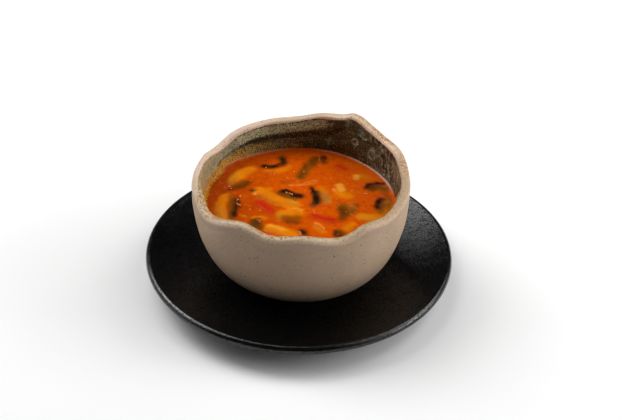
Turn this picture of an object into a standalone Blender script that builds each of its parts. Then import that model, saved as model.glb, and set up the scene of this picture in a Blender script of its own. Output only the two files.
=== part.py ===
"""Tom yum soup in a hand-pressed stoneware bowl, standing on a black saucer.

Lengths are in metres and +Z is up. The saucer's foot stands on the plane Z = 0, and saucer, bowl
and soup share the Z axis. The soup is solid up to its level, with a pocket round each mushroom
slice, stem and chilli strip that pokes out of it.
"""

from dataclasses import dataclass
from math import cos, pi, radians, sin

import bmesh
import bpy

GAP = 0.0003
COLUMNS = 60

# Saucer: a shallow coupe plate with a rounded lip and a foot ring.
SAUCER_RADIUS = 0.1000
SAUCER_LIP_RADIUS = 0.0028
SAUCER_LIP_HEIGHT = 0.0165
SAUCER_WELL_RADIUS = 0.0520
SAUCER_WELL_HEIGHT = 0.0085
SAUCER_THICKNESS = 0.0050
SAUCER_RISE_POWER = 1.7
SAUCER_FOOT_INNER = 0.0490
SAUCER_FOOT_OUTER = 0.0560
SAUCER_FOOT_RECESS = 0.0030

# Bowl: round below, with an upright wall and a lip that rises and dips by hand.
BOWL_RADIUS = 0.0690
BOWL_BASE = SAUCER_WELL_HEIGHT + GAP
BOWL_SHOULDER = 0.0600
BOWL_ROUNDNESS = 2.05
BOWL_SQUARENESS = 4.2
BOWL_FOOT_INNER = 0.0170
BOWL_FOOT_OUTER = 0.0245
BOWL_FOOT_RECESS = 0.0015
BOWL_FLOOR = 0.0170
LIP_RADIUS = 0.0030
LIP_CENTRE = BOWL_RADIUS - LIP_RADIUS
FOOT_SHIFT = (0.0008, -0.0018)
HAND_RELIEF = 0.0005
HAND_WAVES = ((3, 0.6, 1.0), (5, 2.1, 0.7), (9, 4.0, 0.5))

# The lip's hand-pressed line: angle round the bowl from +X, and height of the lip's centre.
LIP_LINE = (
    (-12, 0.0738),
    (4, 0.0745),
    (20, 0.0793),
    (36, 0.0793),
    (47, 0.0818),
    (58, 0.0853),
    (67, 0.0818),
    (79, 0.0803),
    (93, 0.0764),
    (110, 0.0757),
    (129, 0.0741),
    (145, 0.0690),
    (157, 0.0714),
    (178, 0.0717),
    (193, 0.0722),
    (205, 0.0683),
    (216, 0.0692),
    (238, 0.0772),
    (254, 0.0737),
    (272, 0.0757),
    (294, 0.0711),
    (308, 0.0747),
    (328, 0.0704),
)

# Soup: level and the inner wall's radius at that level.
SOUP_LEVEL = 0.0571
SOUP_RADIUS = 0.0610
POCKET_GAP = 0.00035

BLACK = ((0.012, 0.012, 0.013), 0.38)
STONEWARE = ((0.42, 0.34, 0.26), 0.60)
BROTH = ((0.62, 0.16, 0.01), 0.15)
MUSHROOM = ((0.60, 0.36, 0.10), 0.35)
STEM = ((0.72, 0.42, 0.10), 0.35)
CHILLI = ((0.60, 0.03, 0.01), 0.25)


@dataclass(frozen=True)
class Morsel:
    """A piece in the soup: a bent, tapered bar whose gill side lies to the left of its heading.

    bend turns the bar to the left, in degrees; top is how far its crown stands above the soup;
    dip lowers its leading end, and lean lowers its gill side, by a half-length or a half-width.
    """

    name: str
    x: float
    y: float
    heading: float
    length: float
    width: float
    thickness: float = 0.0075
    bend: float = 0.0
    top: float = 0.0015
    dip: float = 0.0
    lean: float = 0.0

    def spine(self, along):
        """Return the point and direction of the bar's middle line, along from -1 to 1."""
        run = 0.5 * self.length * along
        turn = radians(self.bend)
        bearing = radians(self.heading)
        if abs(turn) < 1e-6:
            forward, left = run, 0.0
        else:
            radius = self.length / turn
            forward = radius * sin(run / radius)
            left = radius * (1 - cos(run / radius))
        x = self.x + forward * cos(bearing) - left * sin(bearing)
        y = self.y + forward * sin(bearing) + left * cos(bearing)
        return x, y, bearing + 0.5 * turn * along


MUSHROOMS = (
    Morsel("mushroom_left", -0.0482, -0.0060, -90, 0.0290, 0.0140, bend=62, top=0.0022),
    Morsel("mushroom_back_left", -0.0400, 0.0265, -127, 0.0300, 0.0135, bend=42, top=0.0019),
    Morsel("mushroom_back", -0.0150, 0.0385, 44, 0.0280, 0.0105, bend=96, top=0.0011, lean=-0.0006),
    Morsel("mushroom_back_centre", 0.0050, 0.0400, 62, 0.0270, 0.0095, bend=14, top=-0.0005, dip=-0.0016),
    Morsel("mushroom_centre", -0.0150, 0.0040, -26, 0.0320, 0.0140, bend=24, top=0.0022, lean=0.0002),
    Morsel("mushroom_centre_right", 0.0135, 0.0060, 88, 0.0235, 0.0125, bend=38, top=0.0013, dip=0.0006,
           lean=-0.0007),
    Morsel("mushroom_back_right", 0.0487, 0.0192, -10, 0.0160, 0.0100, bend=48, top=0.0012, lean=-0.0004),
    Morsel("mushroom_right", 0.0530, -0.0013, 74, 0.0200, 0.0115, bend=52, top=0.0020),
    Morsel("mushroom_right_centre", 0.0305, -0.0078, 72, 0.0185, 0.0110, bend=30, top=0.0011),
    Morsel("mushroom_front_centre", -0.0055, -0.0145, 200, 0.0170, 0.0150, bend=22, top=0.0012, lean=0.0009),
    Morsel("mushroom_front_left", -0.0262, -0.0252, -70, 0.0110, 0.0080, bend=30, top=0.0011),
    Morsel("mushroom_front", 0.0020, -0.0350, -62, 0.0120, 0.0070, bend=35, top=0.0014),
    Morsel("mushroom_front_right", 0.0250, -0.0345, -80, 0.0115, 0.0085, bend=30, top=0.0013),
    Morsel("mushroom_near_left", -0.0285, -0.0430, 148, 0.0210, 0.0120, bend=46, top=0.0014),
    Morsel("mushroom_near_right", 0.0350, -0.0420, 28, 0.0170, 0.0110, bend=40, top=0.0012),
)

STEMS = (
    Morsel("stem_right", 0.0270, 0.0120, -66, 0.0160, 0.0085, top=0.0008, dip=0.0012),
    Morsel("stem_back_right", 0.0385, 0.0290, 18, 0.0110, 0.0065, thickness=0.006, top=0.0006, dip=0.0009),
    Morsel("stem_right_front", 0.0435, -0.0158, -14, 0.0165, 0.0092, bend=24, top=0.0015),
    Morsel("stem_front_left", -0.0118, -0.0322, -28, 0.0215, 0.0115, thickness=0.009, bend=-12, top=0.0021),
    Morsel("stem_front_centre", 0.0130, -0.0255, -52, 0.0100, 0.0036, thickness=0.004, bend=-64, top=0.0013),
    Morsel("stem_front_right", 0.0318, -0.0258, 52, 0.0115, 0.0055, thickness=0.006, top=0.0004),
    Morsel("stem_near", 0.0080, -0.0500, 8, 0.0180, 0.0090, bend=20, top=0.0012),
)

CHILLIES = (
    Morsel("chilli_left", -0.0222, -0.0064, -48, 0.0155, 0.0034, thickness=0.0022, bend=20, top=0.0006),
    Morsel("chilli_front", 0.0152, -0.0174, -20, 0.0175, 0.0036, thickness=0.0022, bend=34, top=0.0006),
    Morsel("chilli_back", 0.0262, 0.0402, -46, 0.0085, 0.0030, thickness=0.0020, bend=-20, top=0.0004),
)

# Sections of the bars, as (across, up) from -1 to 1, with the gill side at -1.
SLICE_SECTION = (
    (-0.92, -0.80),
    (-1.00, 0.00),
    (-0.86, 0.48),
    (-0.30, 0.56),
    (-0.10, 0.96),
    (0.35, 1.00),
    (0.80, 0.70),
    (1.00, 0.05),
    (0.78, -0.75),
    (0.00, -1.00),
)
ROUND_SECTION = tuple((cos(pi * k / 4), sin(pi * k / 4)) for k in range(8, 0, -1))
STRIP_SECTION = ((-0.8, -1.0), (-1.0, 0.1), (-0.5, 1.0), (0.5, 1.0), (1.0, 0.1), (0.8, -1.0))


def clear_scene():
    for item in list(bpy.data.objects):
        bpy.data.objects.remove(item, do_unlink=True)


def make_material(name, colour, roughness):
    material = bpy.data.materials.new(name)
    material.use_nodes = True
    shader = material.node_tree.nodes["Principled BSDF"]
    shader.inputs["Base Color"].default_value = (*colour, 1.0)
    shader.inputs["Roughness"].default_value = roughness
    shader.inputs["Metallic"].default_value = 0.0
    return material


def make_object(name, mesh_maker, material=None):
    """Turn a closed bmesh into a smooth-shaded object, with its faces pointing out."""
    bmesh.ops.recalc_face_normals(mesh_maker, faces=mesh_maker.faces)
    mesh = bpy.data.meshes.new(name)
    mesh_maker.to_mesh(mesh)
    mesh_maker.free()
    mesh.shade_smooth()
    mesh.set_sharp_from_angle(angle=radians(40))
    if material:
        mesh.materials.append(material)
    item = bpy.data.objects.new(name, mesh)
    bpy.context.scene.collection.objects.link(item)
    return item


def bridge(mesh_maker, lower, upper):
    """Join two rings of as many vertices with a band of quads."""
    count = len(lower)
    for k in range(count):
        following = (k + 1) % count
        mesh_maker.faces.new((lower[k], lower[following], upper[following], upper[k]))


def fan(mesh_maker, ring, tip):
    for k, corner in enumerate(ring):
        mesh_maker.faces.new((corner, ring[(k + 1) % len(ring)], tip))


def upright(_height):
    return 0.0, 0.0


def bowl_axis(height):
    """Middle of the bowl at a height: the foot stands a little off the centre of the lip."""
    share = min(max((BOWL_SHOULDER - height) / (BOWL_SHOULDER - BOWL_BASE), 0.0), 1.0)
    return FOOT_SHIFT[0] * share, FOOT_SHIFT[1] * share


def turned_solid(name, section, material, axis=upright):
    """Turn section(angle), a list of (radius, height) from axis to axis, about an upright axis."""
    mesh_maker = bmesh.new()

    def corner(radius, angle, height):
        x, y = axis(height)
        return mesh_maker.verts.new((x + radius * cos(angle), y + radius * sin(angle), height))

    angles = [2 * pi * k / COLUMNS for k in range(COLUMNS)]
    columns = [[corner(r, angle, z) for r, z in section(angle)[1:-1]] for angle in angles]
    rings = list(zip(*columns))
    for lower, upper in zip(rings, rings[1:]):
        bridge(mesh_maker, lower, upper)
    first, last = section(0.0)[0], section(0.0)[-1]
    fan(mesh_maker, rings[0], corner(0.0, 0.0, first[1]))
    fan(mesh_maker, rings[-1], corner(0.0, 0.0, last[1]))
    return make_object(name, mesh_maker, material)


def saucer_section(_angle):
    """Foot ring, underside, rounded lip and the shallow well, all round alike."""
    lip_centre = SAUCER_RADIUS - SAUCER_LIP_RADIUS
    span = lip_centre - SAUCER_WELL_RADIUS
    lip_top = SAUCER_LIP_HEIGHT + SAUCER_LIP_RADIUS

    def rise(share):
        return SAUCER_WELL_HEIGHT + (lip_top - SAUCER_WELL_HEIGHT) * share**SAUCER_RISE_POWER

    underside = SAUCER_WELL_HEIGHT - SAUCER_THICKNESS
    places = [(0.0, SAUCER_FOOT_RECESS), (SAUCER_FOOT_INNER - 0.002, SAUCER_FOOT_RECESS)]
    places += [(SAUCER_FOOT_INNER, 0.0), (SAUCER_FOOT_OUTER, 0.0), (SAUCER_FOOT_OUTER + 0.0015, underside)]
    for share in (0.45, 0.75):
        places.append((SAUCER_WELL_RADIUS + span * share, rise(share) - SAUCER_THICKNESS))
    for degrees in (-70, -20, 30, 75):
        turn = radians(degrees)
        radius = lip_centre + SAUCER_LIP_RADIUS * cos(turn)
        places.append((radius, SAUCER_LIP_HEIGHT + SAUCER_LIP_RADIUS * sin(turn)))
    for share in (0.90, 0.66, 0.36, 0.0):
        places.append((SAUCER_WELL_RADIUS + span * share, rise(share)))
    places.append((0.0, SAUCER_WELL_HEIGHT))
    return places


def lip_height(angle):
    """Height of the lip's centre at an angle: a smooth closed curve through LIP_LINE."""
    count = len(LIP_LINE)
    degrees = (angle * 180 / pi - LIP_LINE[0][0]) % 360 + LIP_LINE[0][0]
    k = max(i for i in range(count) if LIP_LINE[i][0] <= degrees)

    def knot(i):
        turns, place = divmod(i, count)
        return LIP_LINE[place][0] + 360 * turns, LIP_LINE[place][1]

    (a0, z0), (a1, z1), (a2, z2), (a3, z3) = (knot(k + i) for i in (-1, 0, 1, 2))
    share = (degrees - a1) / (a2 - a1)
    slope1 = (z2 - z0) / (a2 - a0) * (a2 - a1)
    slope2 = (z3 - z1) / (a3 - a1) * (a2 - a1)
    square, cube = share**2, share**3
    from_start = (2 * cube - 3 * square + 1) * z1 + (cube - 2 * square + share) * slope1
    return from_start + (3 * square - 2 * cube) * z2 + (cube - square) * slope2


def rounded_radius(height, base, full_height, full_radius):
    """Radius of the bowl's round belly at a height: a superellipse from base to full_height."""
    share = min(max((height - base) / (full_height - base), 0.0), 1.0)
    return full_radius * (1 - (1 - share) ** BOWL_ROUNDNESS) ** (1 / BOWL_SQUARENESS)


def hand_relief(angle, height, start):
    """Unevenness of the pressed wall, growing from nothing at the start height to the lip."""
    growth = min(max((height - start) / (BOWL_SHOULDER + 0.008 - start), 0.0), 1.0)
    return HAND_RELIEF * growth * sum(size * sin(n * angle + phase) for n, phase, size in HAND_WAVES)


def inner_wall(clearance=0.0):
    """Inside of the bowl, (radius, height) from the soup's level down to the floor's middle."""
    places = []
    for drop in (0.0, 0.16, 0.34, 0.56, 0.78, 0.93):
        height = SOUP_LEVEL - (SOUP_LEVEL - BOWL_FLOOR) * drop
        radius = rounded_radius(height, BOWL_FLOOR, SOUP_LEVEL, SOUP_RADIUS)
        places.append((radius - clearance, height))
    places.append((0.42 * SOUP_RADIUS - clearance, BOWL_FLOOR + clearance))
    places.append((0.0, BOWL_FLOOR + clearance))
    return places


def bowl_section(angle):
    """The bowl's foot, belly, wall and lip, then down its inside, at one angle."""
    rim = lip_height(angle)
    places = [(0.0, BOWL_BASE + BOWL_FOOT_RECESS), (BOWL_FOOT_INNER - 0.001, BOWL_BASE + BOWL_FOOT_RECESS)]
    places += [(BOWL_FOOT_INNER, BOWL_BASE), (BOWL_FOOT_OUTER, BOWL_BASE)]
    for share in (0.02, 0.06, 0.14, 0.27, 0.45, 0.70, 1.0):
        height = SAUCER_WELL_HEIGHT + (BOWL_SHOULDER - SAUCER_WELL_HEIGHT) * share
        radius = rounded_radius(height, SAUCER_WELL_HEIGHT, BOWL_SHOULDER + 0.0085, BOWL_RADIUS)
        places.append((radius + hand_relief(angle, height, 0.020), height))
    relief = hand_relief(angle, rim, SOUP_LEVEL)
    for degrees in (0, 45, 90, 135, 180):
        turn = radians(degrees)
        radius = LIP_CENTRE + LIP_RADIUS * cos(turn) + relief
        places.append((radius, rim + LIP_RADIUS * sin(turn)))
    middle = 0.5 * (SOUP_LEVEL + rim)
    lip_inside = LIP_CENTRE - LIP_RADIUS
    places.append((0.5 * (SOUP_RADIUS + lip_inside) + hand_relief(angle, middle, SOUP_LEVEL), middle))
    return places + inner_wall()


def soup_section(_angle):
    """The soup fills the bowl's inside, a gap clear of it, up to its level."""
    return [(0.0, SOUP_LEVEL)] + inner_wall(GAP)


def fullness(along_angle):
    return cos(along_angle) ** 0.62


def morsel_solid(morsel, section, rings, material):
    """Loft a section along the morsel's bent spine, tapering to blunt round ends."""
    mesh_maker = bmesh.new()
    loops = []
    for k in range(rings):
        along_angle = radians(80) * (2 * k / (rings - 1) - 1)
        along = sin(along_angle)
        x, y, bearing = morsel.spine(along)
        size = fullness(along_angle)
        half_width = 0.5 * morsel.width * size
        half_height = 0.5 * morsel.thickness * (0.35 + 0.65 * size)
        middle = SOUP_LEVEL + morsel.top - 0.5 * morsel.thickness
        loop = []
        for across, up in section:
            side = half_width * across
            height = middle + half_height * up - morsel.dip * along + morsel.lean * across * size
            place = (x + side * sin(bearing), y - side * cos(bearing), height)
            loop.append(mesh_maker.verts.new(place))
        loops.append(loop)
    for first, second in zip(loops, loops[1:]):
        bridge(mesh_maker, first, second)
    mesh_maker.faces.new(loops[0])
    mesh_maker.faces.new(loops[-1])
    return make_object(morsel.name, mesh_maker, material)


def pocket_cutter(morsel):
    """An upright prism just wider than the morsel, from under it to above the soup."""
    mesh_maker = bmesh.new()
    lowest = SOUP_LEVEL + morsel.top - morsel.thickness - abs(morsel.dip) - abs(morsel.lean) - POCKET_GAP
    left, right = [], []
    steps = 6
    for k in range(steps):
        along_angle = radians(80) * (2 * k / (steps - 1) - 1)
        x, y, bearing = morsel.spine(sin(along_angle) * (1 + 2.6 * POCKET_GAP / morsel.length))
        reach = 0.5 * morsel.width * fullness(along_angle) + 2.2 * POCKET_GAP
        left.append((x - reach * sin(bearing), y + reach * cos(bearing)))
        right.append((x + reach * sin(bearing), y - reach * cos(bearing)))
    outline = right + left[::-1]
    floor = [mesh_maker.verts.new((x, y, lowest)) for x, y in outline]
    roof = [mesh_maker.verts.new((x, y, SOUP_LEVEL + 0.004)) for x, y in outline]
    bridge(mesh_maker, floor, roof)
    mesh_maker.faces.new(floor)
    mesh_maker.faces.new(roof)
    cutter = make_object("cutter_" + morsel.name, mesh_maker)
    cutter.hide_render = True
    cutter.display_type = "WIRE"
    return cutter


def cut_pockets(soup, morsels):
    for morsel in morsels:
        cut = soup.modifiers.new("pocket " + morsel.name, "BOOLEAN")
        cut.operation = "DIFFERENCE"
        cut.solver = "EXACT"
        cut.object = pocket_cutter(morsel)


def main():
    clear_scene()
    stoneware = make_material("sand stoneware", *STONEWARE)
    turned_solid("saucer", saucer_section, make_material("black glaze", *BLACK))
    turned_solid("bowl", bowl_section, stoneware, bowl_axis)
    soup = turned_solid("soup", soup_section, make_material("chilli broth", *BROTH), bowl_axis)
    cut_pockets(soup, MUSHROOMS + STEMS + CHILLIES)
    kinds = (
        (MUSHROOMS, SLICE_SECTION, 7, make_material("mushroom", *MUSHROOM)),
        (STEMS, ROUND_SECTION, 6, make_material("mushroom stem", *STEM)),
        (CHILLIES, STRIP_SECTION, 6, make_material("red chilli", *CHILLI)),
    )
    for morsels, section, rings, material in kinds:
        for morsel in morsels:
            morsel_solid(morsel, section, rings, material)


main()
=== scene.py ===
"""Tom yum soup in a hand-pressed stoneware bowl, standing on its black saucer.

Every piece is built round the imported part's nodes, in metres, and takes its place and size from
them: the bowl and the saucer are turned finely, the mushroom slices, stems and chilli strips are
smoothed and carved from their solids, and the broth settles round them.
"""

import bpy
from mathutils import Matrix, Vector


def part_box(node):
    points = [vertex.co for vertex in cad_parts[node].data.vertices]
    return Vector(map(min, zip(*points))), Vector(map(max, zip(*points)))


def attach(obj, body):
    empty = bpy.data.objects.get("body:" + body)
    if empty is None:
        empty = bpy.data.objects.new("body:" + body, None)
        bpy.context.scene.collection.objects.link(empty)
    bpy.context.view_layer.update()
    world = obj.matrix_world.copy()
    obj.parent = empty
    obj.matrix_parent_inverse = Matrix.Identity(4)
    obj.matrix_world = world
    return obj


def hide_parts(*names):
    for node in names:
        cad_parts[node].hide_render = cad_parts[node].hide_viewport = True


bl_info = {
    "name": "Tom Yum Soup Bowl",
    "version": (1, 0, 0),
    "blender": (4, 5, 0),
    "location": "View3D > Sidebar > Tom Yum",
    "description": "Builds a stoneware bowl of tom yum soup on its saucer, and a plain studio",
    "category": "Object",
}

from functools import cache
from math import cos, pi, radians, sin

import bmesh
import bpy
import numpy as np
from bpy.props import FloatProperty, FloatVectorProperty, IntProperty, PointerProperty
from mathutils import Matrix, Vector, noise
from mathutils.bvhtree import BVHTree

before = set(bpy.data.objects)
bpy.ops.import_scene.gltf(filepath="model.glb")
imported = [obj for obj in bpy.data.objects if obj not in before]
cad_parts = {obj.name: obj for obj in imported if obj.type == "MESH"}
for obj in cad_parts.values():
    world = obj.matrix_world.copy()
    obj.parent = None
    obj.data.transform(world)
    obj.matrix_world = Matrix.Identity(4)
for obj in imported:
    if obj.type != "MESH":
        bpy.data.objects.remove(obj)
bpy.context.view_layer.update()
MM = 0.001

SOUP_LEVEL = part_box("soup")[1].z
SOUP_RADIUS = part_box("soup")[1].x
# The solids leave a gap between the soup and the bowl; the broth closes it and enters the wall.
GAP = 0.0003
WALL_RADIUS = SOUP_RADIUS + GAP

MUSHROOMS = sorted(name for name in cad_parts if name.startswith("mushroom_"))
STEMS = sorted(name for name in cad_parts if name.startswith("stem_"))
CHILLIES = sorted(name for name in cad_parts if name.startswith("chilli_"))
MORSELS = MUSHROOMS + STEMS + CHILLIES


# ---------------------------------------------------------------- numbers and shapes


def paint(red, green, blue):
    """Linear colour from display values of 0 to 255."""
    shares = [value / 255.0 for value in (red, green, blue)]
    return tuple(s / 12.92 if s <= 0.04045 else ((s + 0.055) / 1.055) ** 2.4 for s in shares)


def smooth(value, low, high):
    """0 up to low and 1 from high on, with a soft step between."""
    share = np.clip((value - low) / (high - low), 0.0, 1.0)
    return share * share * (3.0 - 2.0 * share)


def bump_at(value, middle, half):
    """A bell of height 1 round the middle value."""
    return np.exp(-(((value - middle) / half) ** 2))


def window(turn, start, end, soft):
    """1 between two angles in degrees, with edges that fade over soft degrees."""
    middle, half = 0.5 * (start + end), 0.5 * (end - start)
    away = np.abs((turn - middle + 180.0) % 360.0 - 180.0)
    return 1.0 - smooth(away, half - 0.5 * soft, half + 0.5 * soft)


def stretch(turn, rows):
    """The strongest of several windows, each with its from and to angle, fade and strength."""
    return np.max([strength * window(turn, *angles) for *angles, strength in rows], axis=0)


def round_turns(count):
    """Even angles all round, in radians."""
    return np.linspace(0.0, 2 * pi, count, endpoint=False)


def wander(points, size, seed=0.0, octaves=2):
    """Smooth noise of about -1 to 1 at each point, with lumps of the given size in metres."""
    flat = (np.asarray(points).reshape(-1, 3) / size + seed).tolist()
    total = np.zeros(len(flat))
    for octave in range(octaves):
        reach = 2.0**octave
        step = [noise.noise((x * reach, y * reach, z * reach)) for x, y, z in flat]
        total += np.array(step) / reach
    return total.reshape(np.asarray(points).shape[:-1])


def lumps(points, rows, seed=0.0):
    """Height of soft lumps at each point, added up over rows of height, size and seed."""
    return sum(height * wander(points, size, seed + shift) for height, size, shift in rows)


def round_curve(samples, count):
    """Smooth closed curve through evenly spaced samples, read at count even places."""
    place = np.arange(count) * len(samples) / count
    whole = np.floor(place).astype(int)
    part = place - whole
    before, start, end, after = (samples[(whole + k) % len(samples)] for k in (-1, 0, 1, 2))
    slope, curve = end - before, 2 * before - 5 * start + 4 * end - after
    twist = 3 * start - before - 3 * end + after
    return 0.5 * (2 * start + slope * part + curve * part**2 + twist * part**3)


def node_points(node):
    """Corners of a node's solid."""
    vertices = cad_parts[node].data.vertices
    flat = np.empty(len(vertices) * 3)
    vertices.foreach_get("co", flat)
    return flat.reshape(-1, 3)


def turned_faces(rings, columns):
    """Quads of a turned grid, with a pole before the first ring and one after the last."""
    here = np.arange(columns)
    following = (here + 1) % columns
    faces = [(0, 1 + b, 1 + a) for a, b in zip(here.tolist(), following.tolist())]
    for ring in range(rings - 1):
        low, high = 1 + ring * columns, 1 + (ring + 1) * columns
        faces += np.stack([low + here, low + following, high + following, high + here], 1).tolist()
    last, pole = 1 + (rings - 1) * columns, 1 + rings * columns
    faces += [(last + a, last + b, pole) for a, b in zip(here.tolist(), following.tolist())]
    return faces


def turned_grid(radius, height, axis=None):
    """Places of rings turned about the upright axis, or about one that leans."""
    turn = round_turns(radius.shape[1])
    middle_x, middle_y = axis(height) if axis else (0.0, 0.0)
    return np.stack([middle_x + radius * np.cos(turn), middle_y + radius * np.sin(turn), height], -1)


def with_poles(grid):
    """Points or values of a turned grid as one list, closed by the middles of its end rings."""
    return np.concatenate([grid[:1].mean(1), grid.reshape(-1, *grid.shape[2:]), grid[-1:].mean(1)])


def joined(parts):
    """Several (points, faces) as one mesh."""
    points, faces, start = [], [], 0
    for part_points, part_faces in parts:
        points.append(part_points)
        faces += [tuple(start + k for k in face) for face in part_faces]
        start += len(part_points)
    return np.concatenate(points), faces


def stops_of(route):
    """The places along a route that is written as x, y, x, y and so on."""
    return np.array(route, float).reshape(-1, 2)


def brushed(x, y, strokes, edges, ragged):
    """Share of each colour that soft brush strokes leave at places x, y, all in millimetres.

    A stroke is its colour, half its width, its strength and its stops; ragged shakes its edge.
    """
    shares = {colour: np.zeros_like(x) for colour in edges}
    for colour, half, strength, stops in strokes:
        reach = half + 1.5 * edges[colour]
        low, high = stops.min(0) - reach, stops.max(0) + reach
        near = np.flatnonzero((x > low[0]) & (x < high[0]) & (y > low[1]) & (y < high[1]))
        spots = np.stack([x[near], y[near]], -1)
        away = np.full(len(near), np.inf)
        for start, end in zip(stops, [*stops[1:], stops[-1]]):
            step = end - start
            part = np.clip((spots - start) @ step / max(step @ step, 1e-9), 0.0, 1.0)
            away = np.minimum(away, np.linalg.norm(spots - start - part[:, None] * step, axis=1))
        away += ragged[near] * min(1.0, edges[colour] / 3.0)
        share = strength * (1.0 - smooth(away, half - 0.5 * edges[colour], half + 0.5 * edges[colour]))
        shares[colour][near] = np.maximum(shares[colour][near], share)
    return shares


def make_piece(name, points, faces, material, masks, slot, nodes=()):
    """One closed, smooth piece that rides on the part, with a value of each mask at every point."""
    mesh = bpy.data.meshes.new(name)
    mesh.from_pydata(np.asarray(points).tolist(), [], faces)
    for mask, values in masks.items():
        attribute = mesh.attributes.new(mask, "FLOAT", "POINT")
        attribute.data.foreach_set("value", np.asarray(values, np.float32))
    mesh.shade_smooth()
    mesh.materials.append(material)
    mesh.update()
    if mesh.validate():
        raise RuntimeError(f"{name} had faces that had to be mended")
    piece = bpy.data.objects.new(name, mesh)
    bpy.context.scene.collection.objects.link(piece)
    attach(piece, "root")
    if nodes:
        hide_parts(*nodes)
    return piece


# ---------------------------------------------------------------- materials


class Wire:
    """A shader socket that takes part in arithmetic; each step adds a Math node."""

    def __init__(self, nodes, socket):
        self.nodes = nodes
        self.socket = socket

    def _step(self, operation, *entries):
        return self.nodes.add("ShaderNodeMath", {"operation": operation}, dict(enumerate(entries)))

    def __add__(self, other):
        return self._step("ADD", self, other)

    def __sub__(self, other):
        return self._step("SUBTRACT", self, other)

    def __rsub__(self, other):
        return self._step("SUBTRACT", other, self)

    def __mul__(self, other):
        return self._step("MULTIPLY", self, other)

    __radd__ = __add__
    __rmul__ = __mul__

    def beside(self, output):
        """Another output of the same node."""
        return Wire(self.nodes, self.socket.node.outputs[output])

    def most(self, other):
        """The larger of two values."""
        return self._step("MAXIMUM", self, other)

    def rise(self, low, high):
        """0 below low and 1 above high, with a smooth step between; low may be the larger."""
        settings = {"interpolation_type": "SMOOTHSTEP"}
        return self.nodes.add("ShaderNodeMapRange", settings, {0: self, 1: low, 2: high, 3: 0.0, 4: 1.0})


class Nodes:
    """The node tree of a material or a world, emptied to be filled anew."""

    def __init__(self, owner):
        owner.use_nodes = True
        self.tree = owner.node_tree
        self.tree.nodes.clear()

    def add(self, kind, settings=None, sockets=None, out=0):
        """Add a node: its settings first, then a value or link for each socket named."""
        node = self.tree.nodes.new(kind)
        for name, value in (settings or {}).items():
            setattr(node, name, value)
        for name, value in (sockets or {}).items():
            if isinstance(value, Wire):
                self.tree.links.new(value.socket, node.inputs[name])
            elif isinstance(value, tuple) and len(node.inputs[name].default_value) == 4:
                node.inputs[name].default_value = (*value, 1.0)
            else:
                node.inputs[name].default_value = value
        return Wire(self, node.outputs[out]) if node.outputs else None


class Recipe(Nodes):
    """A material put together from nodes, in the frame's own metres."""

    def __init__(self, name):
        self.material = bpy.data.materials.new(name)
        super().__init__(self.material)
        self.place = self.add("ShaderNodeTexCoord", out="Object")
        self.shaken = None

    def mask(self, name):
        """A value that the piece carries at each of its points."""
        return self.add("ShaderNodeAttribute", {"attribute_name": name}, out="Fac")

    def stretched(self, x, y, z):
        """The place on the part, scaled along each axis."""
        sockets = {0: self.place, 1: (x, y, z)}
        return self.add("ShaderNodeVectorMath", {"operation": "MULTIPLY"}, sockets)

    def height(self):
        """Height over the table in metres."""
        return self.add("ShaderNodeSeparateXYZ", None, {0: self.place}, out="Z")

    def clouds(self, size, detail=2.0, roughness=0.5, place=None):
        """Noise of 0 to 1 round 0.5, with lumps of a size in millimetres."""
        sockets = {"Vector": place or self.place, "Scale": 1.0 / (size * MM)}
        sockets.update({"Detail": detail, "Roughness": roughness})
        return self.add("ShaderNodeTexNoise", None, sockets)

    def grains(self, size, share, radius, softness=0.25):
        """Scattered uneven grains: cells of a size in millimetres, of which a share hold a grain."""
        if self.shaken is None:
            shift = {0: self.clouds(0.9).beside("Color"), "Scale": 0.9 * MM}
            shift = self.add("ShaderNodeVectorMath", {"operation": "SCALE"}, shift)
            self.shaken = self.add("ShaderNodeVectorMath", {"operation": "ADD"}, {0: self.place, 1: shift})
        sockets = {"Vector": self.shaken, "Scale": 1.0 / (size * MM), "Randomness": 1.0}
        cells = self.add("ShaderNodeTexVoronoi", None, sockets, out="Distance")
        lot = self.add("ShaderNodeSeparateColor", None, {0: cells.beside("Color")}, out="Red")
        held = lot.rise(share + 0.02, share - 0.02)
        reach = radius / size
        return cells.rise(reach * (1 + softness), reach * (1 - softness)) * held

    def mix(self, share, under, over):
        """The colour under, covered by a share of the colour over."""
        return self.add("ShaderNodeMix", {"data_type": "RGBA"}, {0: share, 6: under, 7: over}, out=2)

    def relief(self, height):
        """Normal of a fine relief whose height is in millimetres."""
        return self.add("ShaderNodeBump", None, {"Strength": 1.0, "Distance": MM, "Height": height})

    def surface(self, **sockets):
        """Finish with a Principled surface; a socket's name has _ for each space."""
        named = {name.replace("_", " "): value for name, value in sockets.items()}
        shader = self.add("ShaderNodeBsdfPrincipled", None, named)
        self.add("ShaderNodeOutputMaterial", None, {"Surface": shader})
        return self.material


# ---------------------------------------------------------------- saucer


class SaucerSettings(bpy.types.PropertyGroup):
    """Sizes and finish of the saucer."""

    glaze: FloatVectorProperty(
        name="Glaze", description="Colour of the black glaze", subtype="COLOR", size=3,
        min=0.0, max=1.0, default=(0.0026, 0.0026, 0.0028))
    roughness: FloatProperty(
        name="Roughness", description="Roughness of the satin glaze", subtype="FACTOR",
        min=0.0, max=1.0, default=0.19)
    lip_radius: FloatProperty(
        name="Lip radius", description="Radius of the rounded lip", subtype="DISTANCE",
        unit="LENGTH", default=0.0028)
    well_radius: FloatProperty(
        name="Well radius", description="Radius of the flat well", subtype="DISTANCE",
        unit="LENGTH", default=0.0520)
    well_height: FloatProperty(
        name="Well height", description="Height of the well above the table", subtype="DISTANCE",
        unit="LENGTH", default=0.0085)
    thickness: FloatProperty(
        name="Thickness", description="Thickness of the plate", subtype="DISTANCE",
        unit="LENGTH", default=0.0050)


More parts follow.
